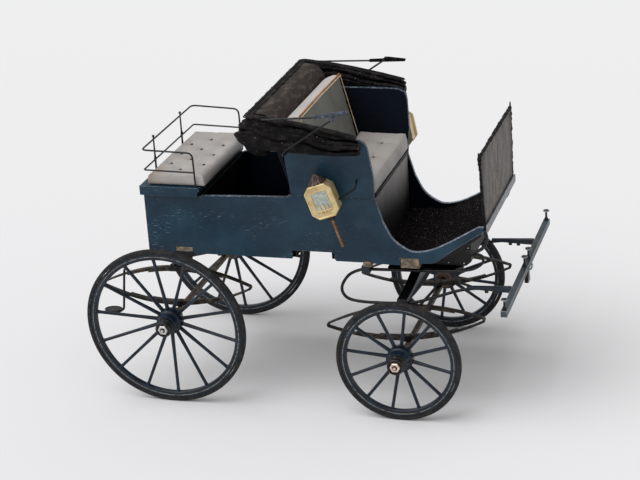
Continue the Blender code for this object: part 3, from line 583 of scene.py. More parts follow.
def swept(path, section, side=None, scale=1.0, dome=0.0, mark=0):
    """A section carried along a route: point + across * a * scale + up * b * scale. Its ends close over a
    dome, or flat where that is 0."""
    path = np.asarray(path, float)
    count = len(path)
    tangent, across, up = directions(path, side)
    scale = np.asarray(scale, float)
    scale = np.broadcast_to(scale[:, None] if scale.ndim == 1 else scale, (count, 2))
    angles = np.radians([90, 60, 30] if dome else [90])
    order = np.concatenate([np.zeros(len(angles), int), np.arange(count), np.full(len(angles), count - 1)])
    shift, shrink = np.zeros(len(order)), np.ones(len(order))
    shift[: len(angles)], shift[-len(angles) :] = -dome * np.sin(angles), dome * np.sin(angles[::-1])
    shrink[: len(angles)], shrink[-len(angles) :] = np.cos(angles), np.cos(angles[::-1])
    centre = path[order] + tangent[order] * shift[:, None]
    a = section[None, :, 0] * (scale[order, 0] * shrink)[:, None]
    b = section[None, :, 1] * (scale[order, 1] * shrink)[:, None]
    points = centre[:, None] + across[order][:, None] * a[:, :, None] + up[order][:, None] * b[:, :, None]
    return points.reshape(-1, 3), [(quads(len(order), len(section)), mark)]


def wire(path, radius, count=12, **settings):
    """A round bar along a route."""
    return swept(path, ring(radius, count), **settings)


def turned(profile, segments, mark=0, axis="y", flutes=0, depth=0.0):
    """A closed (along, radius) outline turned about an axis: radius * (sin u, cos u). Flutes pleat it by
    1 + depth * cos(flutes * u)."""
    profile = np.asarray(profile, float)
    angle = np.arange(segments) * 2 * np.pi / segments
    radius = profile[None, :, 1] * (1 + depth * np.cos(flutes * angle))[:, None]
    along = np.broadcast_to(profile[None, :, 0], radius.shape)
    first, second = radius * np.sin(angle)[:, None], radius * np.cos(angle)[:, None]
    order = {"y": [first, along, second], "z": [first, second, along], "x": [along, first, second]}[axis]
    marks = np.tile(mark, segments) if np.ndim(mark) else mark
    return np.stack(order, -1).reshape(-1, 3), [(quads(segments, len(profile), wrap_rows=True), marks)]


def slab(outline, low, high, axis="y", marks=(0, 0, 0)):
    """A flat outline made thick along an axis. Its edges, low face and high face have their own marks."""
    outline = np.asarray(outline, float)
    count = len(outline)
    first, second, along = {"y": (0, 2, 1), "z": (0, 1, 2), "x": (1, 2, 0)}[axis]
    points = np.empty((2 * count, 3))
    points[:, first], points[:, second] = np.tile(outline[:, 0], 2), np.tile(outline[:, 1], 2)
    points[:, along] = np.repeat([low, high], count)
    low_face = np.arange(count)[None, ::-1]
    return points, [(quads(2, count), marks[0]), (low_face, marks[1]), (low_face[:, ::-1] + count, marks[2])]


def block(x, y, z, mark=0):
    return slab([(x[0], z[0]), (x[1], z[0]), (x[1], z[1]), (x[0], z[1])], y[0], y[1], "y", (mark, mark, mark))


def loft(rings, mark=0):
    """Closed rings of the same number of points joined in order, with flat ends."""
    count = len(rings[0])
    ends = [(np.arange(count)[None, ::-1], mark), (np.arange(count)[None] + (len(rings) - 1) * count, mark)]
    return np.vstack(rings), [(quads(len(rings), count), mark), *ends]


def thin_sheet(upper, lower):
    """Two matching grids of points joined along their edges into one thin solid."""
    return loft(list(np.concatenate([upper, lower[:, ::-1]], axis=1)))


def drawn_across(curve, y):
    """A grid of points: a side view's curve (x, z), repeated at each y."""
    return np.stack(np.broadcast_arrays(curve[:, :1], y[None], curve[:, 1:]), -1)


def moved(part, shift=(0, 0, 0), tilt=0.0, camber=0.0):
    """A part turned by tilt about y, then by camber about x, and then shifted."""
    c, s = math.cos(tilt), math.sin(tilt)
    about_y = np.array([[c, 0, s], [0, 1, 0], [-s, 0, c]])
    c, s = math.cos(camber), math.sin(camber)
    about_x = np.array([[1, 0, 0], [0, c, -s], [0, s, c]])
    return part[0] @ about_y.T @ about_x.T + np.asarray(shift, float), part[1]


def flipped(part):
    return part[0] * (1.0, -1.0, 1.0), part[1]


def mesh_of(name, parts, side=1.0):
    """Parts joined into one mesh in the frame's metres, with doubles merged and faces turned outward."""
    points, faces, marks, count = [], [], [], 0
    for part_points, groups in parts:
        points.append(np.asarray(part_points, float) * (1.0, side, 1.0))
        for group, mark in groups:
            faces += (group + count).tolist()
            marks.append(np.broadcast_to(mark, len(group)))
        count += len(part_points)
    mesh = bpy.data.meshes.new(name)
    mesh.from_pydata((np.vstack(points) - ORIGIN) * MM, [], faces)
    mesh.polygons.foreach_set("material_index", np.concatenate(marks).astype(np.int32))
    shape = bmesh.new()
    shape.from_mesh(mesh)
    bmesh.ops.remove_doubles(shape, verts=shape.verts, dist=MERGE_WITHIN)
    bmesh.ops.recalc_face_normals(shape, faces=shape.faces)
    shape.to_mesh(mesh)
    shape.free()
    return mesh


def settle(name, mesh, finishes, body, nodes, crease=CREASE):
    """A finished mesh's object: its finishes, smooth shading, its body and the nodes it stands for."""
    for finish in finishes:
        mesh.materials.append(FINISHES[finish])
    mesh.shade_smooth()
    mesh.set_sharp_from_angle(angle=math.radians(crease))
    obj = bpy.data.objects.new(name, mesh)
    bpy.context.collection.objects.link(obj)
    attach(obj, body)
    if nodes:
        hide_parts(*nodes)
    return obj


def piece(name, parts, finishes, body, nodes=(), slot=None, side=1.0, crease=CREASE, bevel=0.0, edge=None):
    """One object made of parts, with its edges softened by a bevel that can have a finish of its own."""
    obj = settle(name, mesh_of(name, parts, side), finishes, body, nodes, crease)
    if bevel:
        soften = obj.modifiers.new("soft_edge", "BEVEL")
        soften.width = bevel * MM
        soften.segments = 2
        soften.limit_method = "ANGLE"
        soften.angle_limit = math.radians(crease)
        soften.harden_normals = True
        if edge is not None:
            soften.material = edge
    return obj


def pair(name, parts, finishes, body, node_name, slot, **settings):
    """The right piece and its mirror image. A * in the names stands for right or left."""
    for side, sign in SIDES.items():
        names = [text.replace("*", side) for text in (name, body, node_name)]
        piece(names[0], parts, finishes, names[1], [names[2]], slot, sign, **settings)


# Wheels

SEGMENTS = 120
TYRE_DEPTH, FELLOE_DEPTH = 3.1, 5.3
TREAD_HALF = 1.4
WHEELS = {
    "rear": {"radius": 70.0, "spokes": 14, "x": 0.0, "y": -93.2, "camber": 0.047, "dish": 10.0, "phase": -0.16},
    "front": {"radius": 52.0, "spokes": 12, "x": 198.5, "y": -92.1, "camber": 0.0, "dish": 5.5, "phase": 0.3},
}
NUTS = {"rear": "silver_nut", "front": "brass_nut"}
BAR_INSET, BAR_LIFT = 14.7, 14.2  # where the square axle ends, inward of a wheel's centre


def wheel_centre(kind):
    wheel = WHEELS[kind]
    height = wheel["radius"] * math.cos(wheel["camber"]) + TREAD_HALF * math.sin(wheel["camber"])
    return np.array([wheel["x"], wheel["y"], height])


def tyre_ring(radius):
    """A solid tyre with a crowned tread, a shallow groove on each shoulder and rounded inner lips."""
    inner = radius - TYRE_DEPTH
    half = [
        (2.45, inner), (2.5, radius - 1.9), (2.32, radius - 1.75), (2.42, radius - 1.55), (2.3, radius - 0.8),
        (1.9, radius - 0.2), (1.2, radius),
    ]
    return turned(rounded([*half, *[(-y, r) for y, r in reversed(half)]], 0.25, 2), SEGMENTS)


def felloe_ring(radius):
    """The wooden rim: a dark band, a fine raised cream line on each face, and a rounded inner edge."""
    top = radius - TYRE_DEPTH - 0.25
    low = top - FELLOE_DEPTH
    line = low + 2.95
    half = [
        (0.7, low - 0.1), (1.7, low), (2.2, low + 0.6), (2.2, line - 0.36), (2.26, line - 0.32),
        (2.26, line + 0.32), (2.2, line + 0.36), (2.2, top - 0.7), (2.0, top - 0.55), (2.0, top),
    ]
    outline = np.array([*half, *[(-y, r) for y, r in reversed(half)]])
    middle = (outline + np.roll(outline, -1, 0)) / 2
    on_line = (np.abs(middle[:, 1] - line) < 0.35) & (np.abs(middle[:, 0]) > 2.22)
    return turned(outline, SEGMENTS, on_line.astype(int))


def spoke_bars(wheel):
    """Round spokes, thick at the nave, with a short shoulder at the felloe, turned about the axle one after
    another. They slope in by the dish, so the wheel is a shallow cone."""
    far = wheel["radius"] - TYRE_DEPTH - FELLOE_DEPTH + 0.4
    share = np.linspace(0, 1, 15)
    thick = 1.65 - 0.3 * np.minimum(1.0, share * 2.2) + 0.3 * np.clip((share - 0.93) / 0.05, 0, 1)
    path = np.column_stack([0 * share, wheel["dish"] * (1 - share), 9.0 + (far - 9.0) * share])
    bar = wire(path, 1.0, side=(1, 0, 0), scale=np.column_stack([thick, thick * 1.12]))
    count = wheel["spokes"]
    return [moved(bar, tilt=2 * math.pi * (index + wheel["phase"]) / count) for index in range(count)]


def nave(dish):
    """A nave: a turned barrel, its bare inner end and a black collar with a deep mouth round the axle nut."""
    outline = [
        (12.0, 2.8, 2), (12.0, 6.6, 2), (11.7, 7.1, 2), (9.2, 7.5, 2), (8.8, 7.9, 0), (5.4, 8.6, 0),
        (4.6, 9.4, 0), (4.2, 10.5, 0), (3.4, 11.0, 0), (0.0, 11.15, 0), (-3.4, 11.0, 0), (-4.1, 10.5, 0),
        (-4.8, 9.3, 0), (-6.0, 8.9, 0), (-9.6, 8.1, 0), (-9.8, 7.6, 3), (-13.0, 7.4, 3), (-13.3, 7.0, 3),
        (-16.8, 6.9, 3), (-17.3, 6.7, 3), (-17.6, 6.3, 3), (-17.6, 5.6, 3), (-17.4, 5.3, 3), (-15.4, 5.2, 3),
        (-15.4, 2.8, 3),
    ]
    return moved(turned([point[:2] for point in outline], 56, [point[2] for point in outline]), (0, dish, 0))


def add_wheels():
    for kind, wheel in WHEELS.items():
        place = wheel_centre(kind)
        wood = [felloe_ring(wheel["radius"]), nave(wheel["dish"]), *spoke_bars(wheel)]
        wood = [moved(part, place, camber=wheel["camber"]) for part in wood]
        rubber = moved(tyre_ring(wheel["radius"]), place, camber=wheel["camber"])
        body = f"{kind}_wheel_*"
        finishes = ["wheel_paint", "cream_line", "hub_wood", "hub_black"]
        pair(f"{kind}_wheel_wood_*", wood, finishes, body, body, "dark_paint")
        pair(f"{kind}_wheel_tyre_*", [rubber], ["tyre"], body, f"{kind}_tyre_*", "tyre_rubber")


def axle_arm(kind):
    """An axle arm drawn outward from its wheel's centre: shaft, collar, washer, chamfered nut and stub."""
    shaft = wire([(0, 15.6, 0), (0, -18.0, 0)], 2.3, 16, side=(1, 0, 0))
    collar = turned([(13.8, 0), (13.8, 3.6), (13.5, 3.9), (12.8, 3.9), (12.5, 3.6), (12.5, 0)], 32)
    nut_path = [(0, -15.9, 0), (0, -16.2, 0), (0, -18.1, 0), (0, -18.6, 0)]
    nut = wire(nut_path, 4.4, 6, side=(1, 0, 0), scale=np.array([0.9, 1.0, 1.0, 0.86]), mark=1)
    washer = turned([(-15.5, 0), (-15.5, 4.9), (-16.0, 4.9), (-16.0, 0)], 28, 2)
    dark_ring = turned([(-18.5, 0), (-18.5, 2.3), (-18.75, 2.2), (-18.75, 0)], 24, 2)
    stub = wire([(0, -18.3, 0), (0, -19.1, 0), (0, -19.9, 0)], 1.2, 14, side=(1, 0, 0), dome=0.2, mark=1)
    parts = (shaft, collar, nut, washer, dark_ring, stub)
    parts = [moved(part, (0, WHEELS[kind]["dish"], 0)) for part in parts]
    return [moved(part, wheel_centre(kind), camber=WHEELS[kind]["camber"]) for part in parts]


def add_axles():
    for kind, body in (("rear", "carriage_body"), ("front", "fore_carriage")):
        x, y, height = wheel_centre(kind)
        camber = WHEELS[kind]["camber"]
        half = abs(y) - (WHEELS[kind]["dish"] + BAR_INSET) * math.cos(camber) + 0.5
        height += BAR_LIFT * math.sin(camber)
        bar = [(x, -half, height), (x, half, height)]
        bar = swept(bar, box_section(4.0, 4.0, 0.5), side=(1, 0, 0), mark=3)
        arms = axle_arm(kind)
        parts = [bar, *arms, *[flipped(arm) for arm in arms]]
        finishes = ["iron", NUTS[kind], "hub_black", "axle_brown"]
        piece(f"{kind}_axle_iron", parts, finishes, body, [f"{kind}_axle"], "black_iron", crease=28)


# Springs and steps

SPRING_Y, SPRING_HALF, SPRING_WIDTH, HAIRPIN = 57.0, 65.2, 5.0, 1.7
SPRINGS = {
    "rear": {"x": -2.0, "z": 91.7, "rise": 16.9, "tilt": 0.03, "body": "carriage_body"},
    "front": {"x": 196.5, "z": 70.9, "rise": 14.7, "tilt": 0.1, "body": "fore_carriage"},
}


def leaf(half, rise, lift, flip):
    """One spring leaf, z = flip (lift + rise (1 - (x / half)^2)), a little thinner and narrower at its
    tips."""
    x = np.linspace(-half, half, 49)
    path = np.column_stack([x, 0 * x, flip * (lift + rise * (1 - (x / half) ** 2))])
    scale = np.column_stack([1 - 0.16 * np.abs(x / half) ** 4, 1 - 0.12 * np.abs(x / half) ** 3])
    return swept(path, box_section(SPRING_WIDTH, 1.25, 0.3), side=(0, 1, 0), scale=scale)


def spring_parts(rise):
    """Two bowed stacks of three leaves whose longest ones turn into each other as hairpins round a pin at
    both ends, and a bolted clip at each middle."""
    parts = []
    for flip in (1, -1):
        parts.append(leaf(SPRING_HALF, rise - HAIRPIN, HAIRPIN, flip))
        parts.append(leaf(SPRING_HALF * 0.66, rise * 0.44 - 0.7, rise * 0.56 - 0.6, flip))
        parts.append(leaf(SPRING_HALF * 0.36, rise * 0.13, rise * 0.87 - 2.55, flip))
        z = flip * (rise - 0.8)
        parts.append(swept([(0, -3.1, z), (0, 3.1, z)], box_section(8.0, 4.6, 0.5), side=(1, 0, 0), mark=1))
        for x in (-2.6, 2.6):
            parts.append(wire([(x, 0, z - 3.0), (x, 0, z + 3.0)], 0.8, 10, dome=0.4, mark=1))
            parts.append(wire([(x, -3.0, z), (x, -3.7, z)], 0.7, 10, dome=0.3, mark=1))
    angle = np.linspace(np.pi / 2, -np.pi / 2, 15)
    for way in (-1, 1):
        x = way * (SPRING_HALF + HAIRPIN * np.cos(angle))
        end = np.column_stack([x, 0 * angle, HAIRPIN * np.sin(angle)])
        parts.append(swept(end, box_section(SPRING_WIDTH * 0.84, 1.1, 0.25), side=(0, 1, 0)))
        pin = turned(rounded([(-2.9, 0), (2.9, 0), (2.9, 0.6), (-2.9, 0.6)], 0.2, 2), 14, 1)
        parts.append(moved(pin, (way * (SPRING_HALF + 0.6), 0, 0)))
    return parts


def add_springs():
    for kind, spring in SPRINGS.items():
        shift = (spring["x"], -SPRING_Y, spring["z"])
        parts = [moved(part, shift, tilt=-spring["tilt"]) for part in spring_parts(spring["rise"])]
        name, finishes = f"{kind}_spring_leaves_*", ["spring_steel", "iron"]
        pair(name, parts, finishes, spring["body"], f"{kind}_spring_*", "spring_steel")


def add_steps():
    """A groom's step on each rear spring: bent wire and an oval tread with a raised rim."""
    route = [(-46.6, -56.6, 105.6), (-46.6, -61.6, 105.2), (-50.6, -62, 67.2), (-58, -62, 67.2)]
    hanger = wire(even(bent(route, 3.4), 0.8), 1.0, dome=0.5)
    angle = np.linspace(0, 2 * np.pi, 33)
    tread = slab(np.column_stack([-60 + 8 * np.cos(angle[:-1]), -62 + 6 * np.sin(angle[:-1])]), 66.4, 68.0, "z")
    rim_path = np.column_stack([-60 + 7.5 * np.cos(angle), -62 + 5.5 * np.sin(angle), np.full(33, 68.0)])
    rim = wire(rim_path, 0.45, 8, side=(0, 0, 1))
    pair("groom_step_*", [hanger, tread, rim], ["iron"], "carriage_body", "step_iron_*", "black_iron")


# Fore-carriage

IRON_Y, IRON_R = 52.0, 1.3


def add_wheel_irons():
    """Each side's iron: a loop and futchell in one bar, the top bar with a painted block at its rear, and a
    tapered block with two round nuts at the front. The right one ends in a scroll."""
    y = -IRON_Y
    loop = [
        (168.5, y, 114.2), (159, y, 113.2), (149.4, y, 108.2), (143, y, 98.5), (143.6, y, 91), (150.5, y, 86),
        (169.5, y, 84.6), (201.8, y, 86.6), (224, y, 93.7), (243.5, y, 100.4), (263, y, 103.2),
        (283.6, y, 103.4),
    ]
    top = [(166.5, y, 114.2), (206, y, 115.4), (246, y, 116.9)]
    scroll = [
        (256, y, 102.6), (249.6, y, 104.6), (241.6, y, 107.4), (239.4, y, 112), (245.4, y, 117), (254, y, 119.6),
        (260.8, y, 124.4), (262, y, 130), (258.1, y, 132.3), (252.4, y, 131.0),
    ]
    parts = [wire(even(smooth(loop), 1.0), IRON_R, 14, side=(0, 1, 0), dome=0.3)]
    parts.append(wire(even(top, 1.2), IRON_R, 14, side=(0, 1, 0), dome=0.5))
    bar = even([(248, y, 103.2), (284.1, y, 103.4)], 1.5)
    taper = np.linspace(0.5, 1.05, len(bar))
    parts.append(swept(bar, box_section(5.4, 4.2, 0.5), side=(0, 1, 0), scale=taper, mark=1))
    parts.append(block((161.0, 167.8), (y - 3.4, y + 3.4), (111.3, 117.4), 1))
    for x in (264, 271):
        parts.append(wire([(x, y, 99.6), (x, y, 101.8)], 1.6, 14, dome=0.4, mark=2))
    scroll = wire(even(smooth(scroll), 0.9), IRON_R * 0.86, 14, side=(0, 1, 0), dome=0.8)
    finishes = ["iron", "fore_paint", "under_wood"]
    for side, sign in SIDES.items():
        whole = [*parts, scroll] if side == "right" else parts
        nodes = [f"wheel_iron_{side}"]
        piece(f"iron_loop_{side}", whole, finishes, "fore_carriage", nodes, "black_iron", sign, bevel=0.3)


def bow(part):
    """x moves forward by 5 (1 - (y / 57)^2), as the bolster bows towards the pole."""
    points = part[0].copy()
    points[:, 0] += 5 * (1 - (points[:, 1] / 57) ** 2)
    return points, part[1]


def add_fore_blocks():
    """King plate with its turned post, the bolster that rises to its middle, and the sway bar."""
    plate = [(182, -50), (236, -50), (243, -40), (243, 40), (236, 50), (182, 50)]
    plate = slab(plate, 114.2, 116.6, "z")
    post = [(109.0, 0), (109.0, 5.0), (111, 5.0), (112.4, 7.4), (114.6, 7.4), (114.6, 0)]
    post = moved(turned(post, 40, 1, "z"), (198.5, 0, 0))
    parts, finishes = [plate, post], ["iron", "post_wood"]
    piece("king_plate_iron", parts, finishes, "fore_carriage", ["king_plate"], "black_iron", bevel=0.3)

    half = [(57, 90.6), (40, 96), (24, 101.8), (4, 110.0)]
    rise = smooth([*half, *[(-y, z) for y, z in reversed(half)]], 8)
    foot = np.column_stack([np.linspace(-57, 57, 41), np.full(41, 88.0)])
    timber = slab(np.vstack([foot, rise]), 190, 198.4, "x", (1, 0, 0))
    # the timber's top, foot and ends take the black iron finish as painted shade under the body
    parts, finishes = [bow(timber)], ["bolster_face", "iron"]
    piece("bolster_wood", parts, finishes, "fore_carriage", ["bolster"], "dark_paint", bevel=0.4)
    half = IRON_Y - 3.9
    sway, finishes = block((161.6, 166.4), (-half, half), (113.2, 117.2)), ["fore_paint", "edge_paint"]
    piece("sway_bar_wood", [sway], finishes, "fore_carriage", ["sway_bar"], "dark_paint", bevel=0.5, edge=1)


BAR_X, BAR_Z, BAR_HALF = 287.4, 103.4, 101.0


def roller_bolt(y):
    """A roller bolt: a thin post on a cone foot, with a flat dished head."""
    profile = [
        (-0.4, 0), (-0.4, 2.2), (0.3, 2.2), (2.4, 1.2), (3.6, 0.95), (7.4, 0.95), (7.9, 1.4), (8.2, 2.6),
        (8.5, 2.75), (9.1, 2.65), (9.3, 2.3), (9.3, 0.9), (9.2, 0),
    ]
    return moved(turned(profile, 26, 2, "z"), (BAR_X, y, BAR_Z + 2.5))


def add_splinter_bar():
    """The splinter bar: worn edges, four roller bolts, and the pole's wedge and hook under its middle."""
    bar = block((BAR_X - 2.6, BAR_X + 2.6), (-BAR_HALF, BAR_HALF), (BAR_Z - 2.5, BAR_Z + 2.5))
    z = BAR_Z
    wedge = [(-1.6, z - 1), (-1.6, z - 5), (-4.2, z - 14.5), (4.2, z - 14.5), (1.6, z - 5), (1.6, z - 1)]
    wedge = slab(wedge, BAR_X - 1.4, BAR_X + 2.2, "x", (2, 2, 2))
    hook = [
        (BAR_X + 1, 0, z - 4.0), (BAR_X + 3.4, 0, z - 3.4), (BAR_X + 4.4, 0, z - 1.0), (BAR_X + 4.6, 0, z + 1.4),
    ]
    hook = wire(even(smooth(hook), 0.6), 0.8, 10, dome=0.4, mark=2)
    parts = [bar, wedge, hook, *[roller_bolt(y) for y in (-97.5, -9, 9, 97.5)]]
    finishes, nodes = ["bar_paint", "bar_edge", "iron"], ["splinter_bar"]
    piece("splinter_bar_wood", parts, finishes, "fore_carriage", nodes, "dark_paint", bevel=0.45, edge=1)


# Body boards

HALF_Y, PANEL = 58.0, 3.2
QUARTER_Y, QUARTER_Z, LEAN = 59.0, 178.4, 0.206
INNER = HALF_Y - PANEL - 0.3


def lean(y, z):
    return y + LEAN * (z - QUARTER_Z)


def side_outline():
    """The body side seen square on: straight boot, raised arch under the seat, and a swept foot well."""
    sweep = [(182, 158), (189.6, 144), (200, 136), (208.3, 133.9), (220.8, 136.4), (236, 143.8), (260, 158)]
    sweep = smooth(sweep, 12)
    toe = [(213.5, 124.0), (221, 124.6), (227.4, 127.8), (234.6, 133.5), (242.4, 139.3), (254.4, 147.6)]
    toe = smooth([*toe, (264.5, 154.3)], 8)
    start = [
        (-23.3, 122.2), (0.7, 122.2), (0.7, 127.8), (16.3, 127.8), (16.3, 122.2), (103, 122.2), (103, 129.6),
        (138.2, 129.6), (139.5, 128.3), (139.8, 123.7), (140.9, 122.2), (163, 122.2), (163, 123.5),
        (170.6, 123.5), (170.6, 121.8), (194.9, 121.5), (194.9, 128.3), (210.8, 128.3), (210.8, 124.0),
    ]
    rear = [(176.3, 177), (176.3, 178), (103, 178), (103, 176.5), (27, 174.2), (27, 173.3), (-23.3, 173.3)]
    return np.vstack([start, toe, [(264.5, 158)], sweep[::-1], rear])


def tipped(part):
    """y leans outward with height: y - 0.206 (z - 178.4)."""
    points = part[0].copy()
    points[:, 1] -= LEAN * (points[:, 2] - QUARTER_Z)
    return points, part[1]


def tapered(outline, half_low, half_high):
    """A slab centred on y = 0 whose half width changes evenly from its lowest to its highest point."""
    points, faces = slab(outline, -1.0, 1.0)
    share = (points[:, 2] - points[:, 2].min()) / np.ptp(points[:, 2])
    points[:, 1] *= half_low + share * (half_high - half_low)
    return points, faces


def add_sides():
    """The side boards and the leaning seat sides with the hood's pivot pins, black inside."""
    corner = smooth([(174.7, 223.8), (172.7, 228.7), (167.8, 231.3)], 8)
    quarter = np.vstack([[(106.2, 178.4), (176, 178.4), (177, 200)], corner, [(163, 232), (104.2, 232)]])
    finishes = ["body_paint", "inside_paint", "board_edge"]
    panel = slab(side_outline(), -HALF_Y, PANEL - HALF_Y, "y", (2, 0, 1))
    leaning = tipped(slab(quarter, -QUARTER_Y, PANEL - QUARTER_Y, "y", (2, 0, 1)))
    pin = wire([(161.5, 1.5 - lean(QUARTER_Y, 229), 229), (161.5, -71.2, 229)], 1.9, 16, mark=2)
    for name, parts, stands_for in (
        ("side_board_*", [panel], "side_panel_*"),
        ("seat_side_*", [leaning, pin], "quarter_panel_*"),
    ):
        pair(name, parts, finishes, "carriage_body", stands_for, "body_paint", bevel=0.35, edge=2)


def let_in_timber(x, bottom, middle_top, end_top):
    """A cross timber under the floor whose ends stand up into notches in the side boards."""
    inner = HALF_Y - PANEL
    outline = [
        (-HALF_Y, bottom), (HALF_Y, bottom), (HALF_Y, end_top), (inner, end_top), (inner, middle_top),
        (-inner, middle_top), (-inner, end_top), (-HALF_Y, end_top),
    ]
    return slab(outline, x[0], x[1], "x")


def add_inner_boards():
    """The toe board with its block and screws, the floor, walls and seat boards, and the cross timbers."""
    lower = smooth([(214, 122.9), (228, 127.1), (238, 132.9), (253, 142.4), (261.4, 149)], 6)
    upper = smooth([(261.4, 154.3), (253, 149), (238, 139.8), (225, 132.9), (214, 126.3)], 6)
    toe = [slab(np.vstack([lower, upper]), -INNER, INNER)]
    under = [(214.2, 118.9), (246.5, 118.9), (250.6, 122.5), (250.6, 142), (214.2, 124.5)]
    toe.append(slab(under, -45, 45))
    screws = [(240.7, 134.5), (248.4, 134.6), (217.6, 121.4), (244.8, 121.2), (232.0, 121.0)]
    toe += [wire([(x, -44.9, z), (x, -45.3, z)], 0.8, dome=0.3, mark=2) for x, z in screws]
    floor = [
        (-19.8, 122.6), (105.8, 122.6), (105.8, 130.2), (136.2, 130.2), (136.2, 122.6), (213.7, 122.6),
        (213.7, 125.4), (139, 125.4), (139, 133), (103, 133), (103, 125.4), (-19.8, 125.4),
    ]
    seat = [(-25.5, 173.6), (25, 173.6), (25, 178.2), (27, 178.2), (27, 181.5), (-25.5, 181.5)]
    back = [(105.5, 181.8), (108.3, 181.8), (97.7, 231.8), (94.9, 231.8)]
    back_half = [lean(QUARTER_Y, z) - PANEL - 0.5 for z in (181.8, 231.8)]
    wide = (-INNER, INNER)
    rear_panel, rear_wall = block((-23.3, -20.1), wide, (122.6, 173.3)), block((24, 27), wide, (125.7, 173.3))
    front_wall, riser = block((103.3, 106.1), wide, (133.3, 178)), block((172.8, 175.8), wide, (125.7, 178))
    seat_board = block((103.4, 176.8), (-55.4, 55.4), (178.3, 181.5))
    boards = {
        "body_floor": ([slab(floor, *wide)], "boot_paint", "dark_edge", "dark_paint"),
        "rear_panel": ([rear_panel], "body_paint", "edge_paint", "body_paint"),
        "boot_rear_wall": ([rear_wall], "boot_paint", "dark_edge", "dark_paint"),
        "boot_front_wall": ([front_wall], "boot_paint", "dark_edge", "dark_paint"),
        "seat_riser": ([riser], "riser_paint_and_painted_shade", "dark_edge", "body_paint"),
        "seat_board": ([seat_board], "inside_paint", "dark_edge", "dark_paint"),
        "rear_seat_board": ([slab(seat, -60.8, 60.8)], "body_paint", "board_edge", "body_paint"),
        "seat_back_board": ([tapered(back, *back_half)], "inside_paint", "dark_edge", "dark_paint"),
        "toe_board": (toe, "under_wood", "dark_edge", "dark_paint"),
    }
    for name, (parts, finish, edge, slot) in boards.items():
        finishes = [finish, edge, "screw_head_and_painted_glint"]
        piece(f"{name}_wood", parts, finishes, "carriage_body", [name], slot, bevel=0.3, edge=1)
    timbers = {
        "front_transom": [let_in_timber((195.2, 210.5), 119.4, 122.3, 128)],
        "rear_transom": [let_in_timber((1, 16), 119.4, 122.3, 127.5)],
        "seat_batten": [let_in_timber((163.3, 170.3), 118.4, 122.3, 123.2)],
    }
    timbers["rear_transom"] += [block((1.5, 13), (y - 3, y + 3), (110.7, 120)) for y in (-55, 55)]
    for name, parts in timbers.items():
        finish = "rear_timber" if name == "rear_transom" else "bare_wood"
        piece(f"{name}_wood", parts, [finish], "carriage_body", [name], "bare_wood", bevel=0.35)


# Seats and squab

WAVES = 7


def waves(points, size, seed):
    """A smooth uneven field between about -1 and 1: sines in mixed directions, each a size or less long."""
    ways = np.random.default_rng(seed).normal(size=(WAVES, 4))
    total = np.zeros(points.shape[:-1])
    for index, (x, y, z, start) in enumerate(ways):
        way = unit(np.array([x, y, z]))
        total += np.sin(points @ way * 2 * np.pi / (size / (1 + 0.35 * index)) + start * 3)
    return total / WAVES**0.5


def read_points(mesh):
    points = np.empty(len(mesh.vertices) * 3, np.float32)
    mesh.vertices.foreach_get("co", points)
    return points.reshape(-1, 3).astype(float)


def write_points(mesh, points):
    mesh.vertices.foreach_set("co", points.astype(np.float32).ravel())
    mesh.update()


BUTTON_LAYER, BUTTON_HOLD = 4.0, 1.4  # how deep a button reaches, and how near its middle the cover is held


def pressed(points, held, buttons):
    """Each button pulls the cover in along its way by depth * exp(-(distance / reach)^2). Returns the
    points, and which of them are held still."""
    still = held(points)
    for spot, way, depth, reach in buttons:
        way = unit(np.asarray(way, float))
        gap = points - np.asarray(spot, float)
        across = gap - (gap @ way)[:, None] * way
        near = np.linalg.norm(across, axis=1)
        facing = np.abs(gap @ way) < BUTTON_LAYER
        points = points - way * (depth * np.exp(-((near / reach) ** 2)) * facing)[:, None]
        still = still | ((near < BUTTON_HOLD) & facing)
    return points, still


CLOTH_SCALE, CLOTH_FRAMES = 10, 20  # the cloth is worked out ten times full size
CLOTH = {"quality": 6, "mass": 0.3, "bending_stiffness": 0.6}
CLOTH |= {"tension_stiffness": 18, "compression_stiffness": 18}


def blown_up(obj, start, still, pressure, cap):
    """The cover's points after some frames as cloth under pressure. No point moves further than cap: a move
    of length m becomes cap * tanh(m / cap)."""
    group = obj.vertex_groups.new(name="held")
    group.add([int(index) for index in np.flatnonzero(still)], 1.0, "REPLACE")
    cloth = obj.modifiers.new("cover", "CLOTH")
    for setting, value in CLOTH.items():
        setattr(cloth.settings, setting, value)
    cloth.settings.use_pressure = True
    cloth.settings.uniform_pressure_force = pressure
    cloth.settings.vertex_group_mass = "held"
    cloth.settings.effector_weights.gravity = 0
    for step in range(1, CLOTH_FRAMES + 1):
        bpy.context.scene.frame_set(step)
    final = obj.evaluated_get(bpy.context.evaluated_depsgraph_get()).data
    blown = read_points(final) / (CLOTH_SCALE * MM) + ORIGIN
    bpy.context.scene.frame_set(1)
    obj.modifiers.clear()
    move = blown - start
    far = np.maximum(np.linalg.norm(move, axis=1, keepdims=True), 1e-9)
    return start + move / far * cap * np.tanh(far / cap)


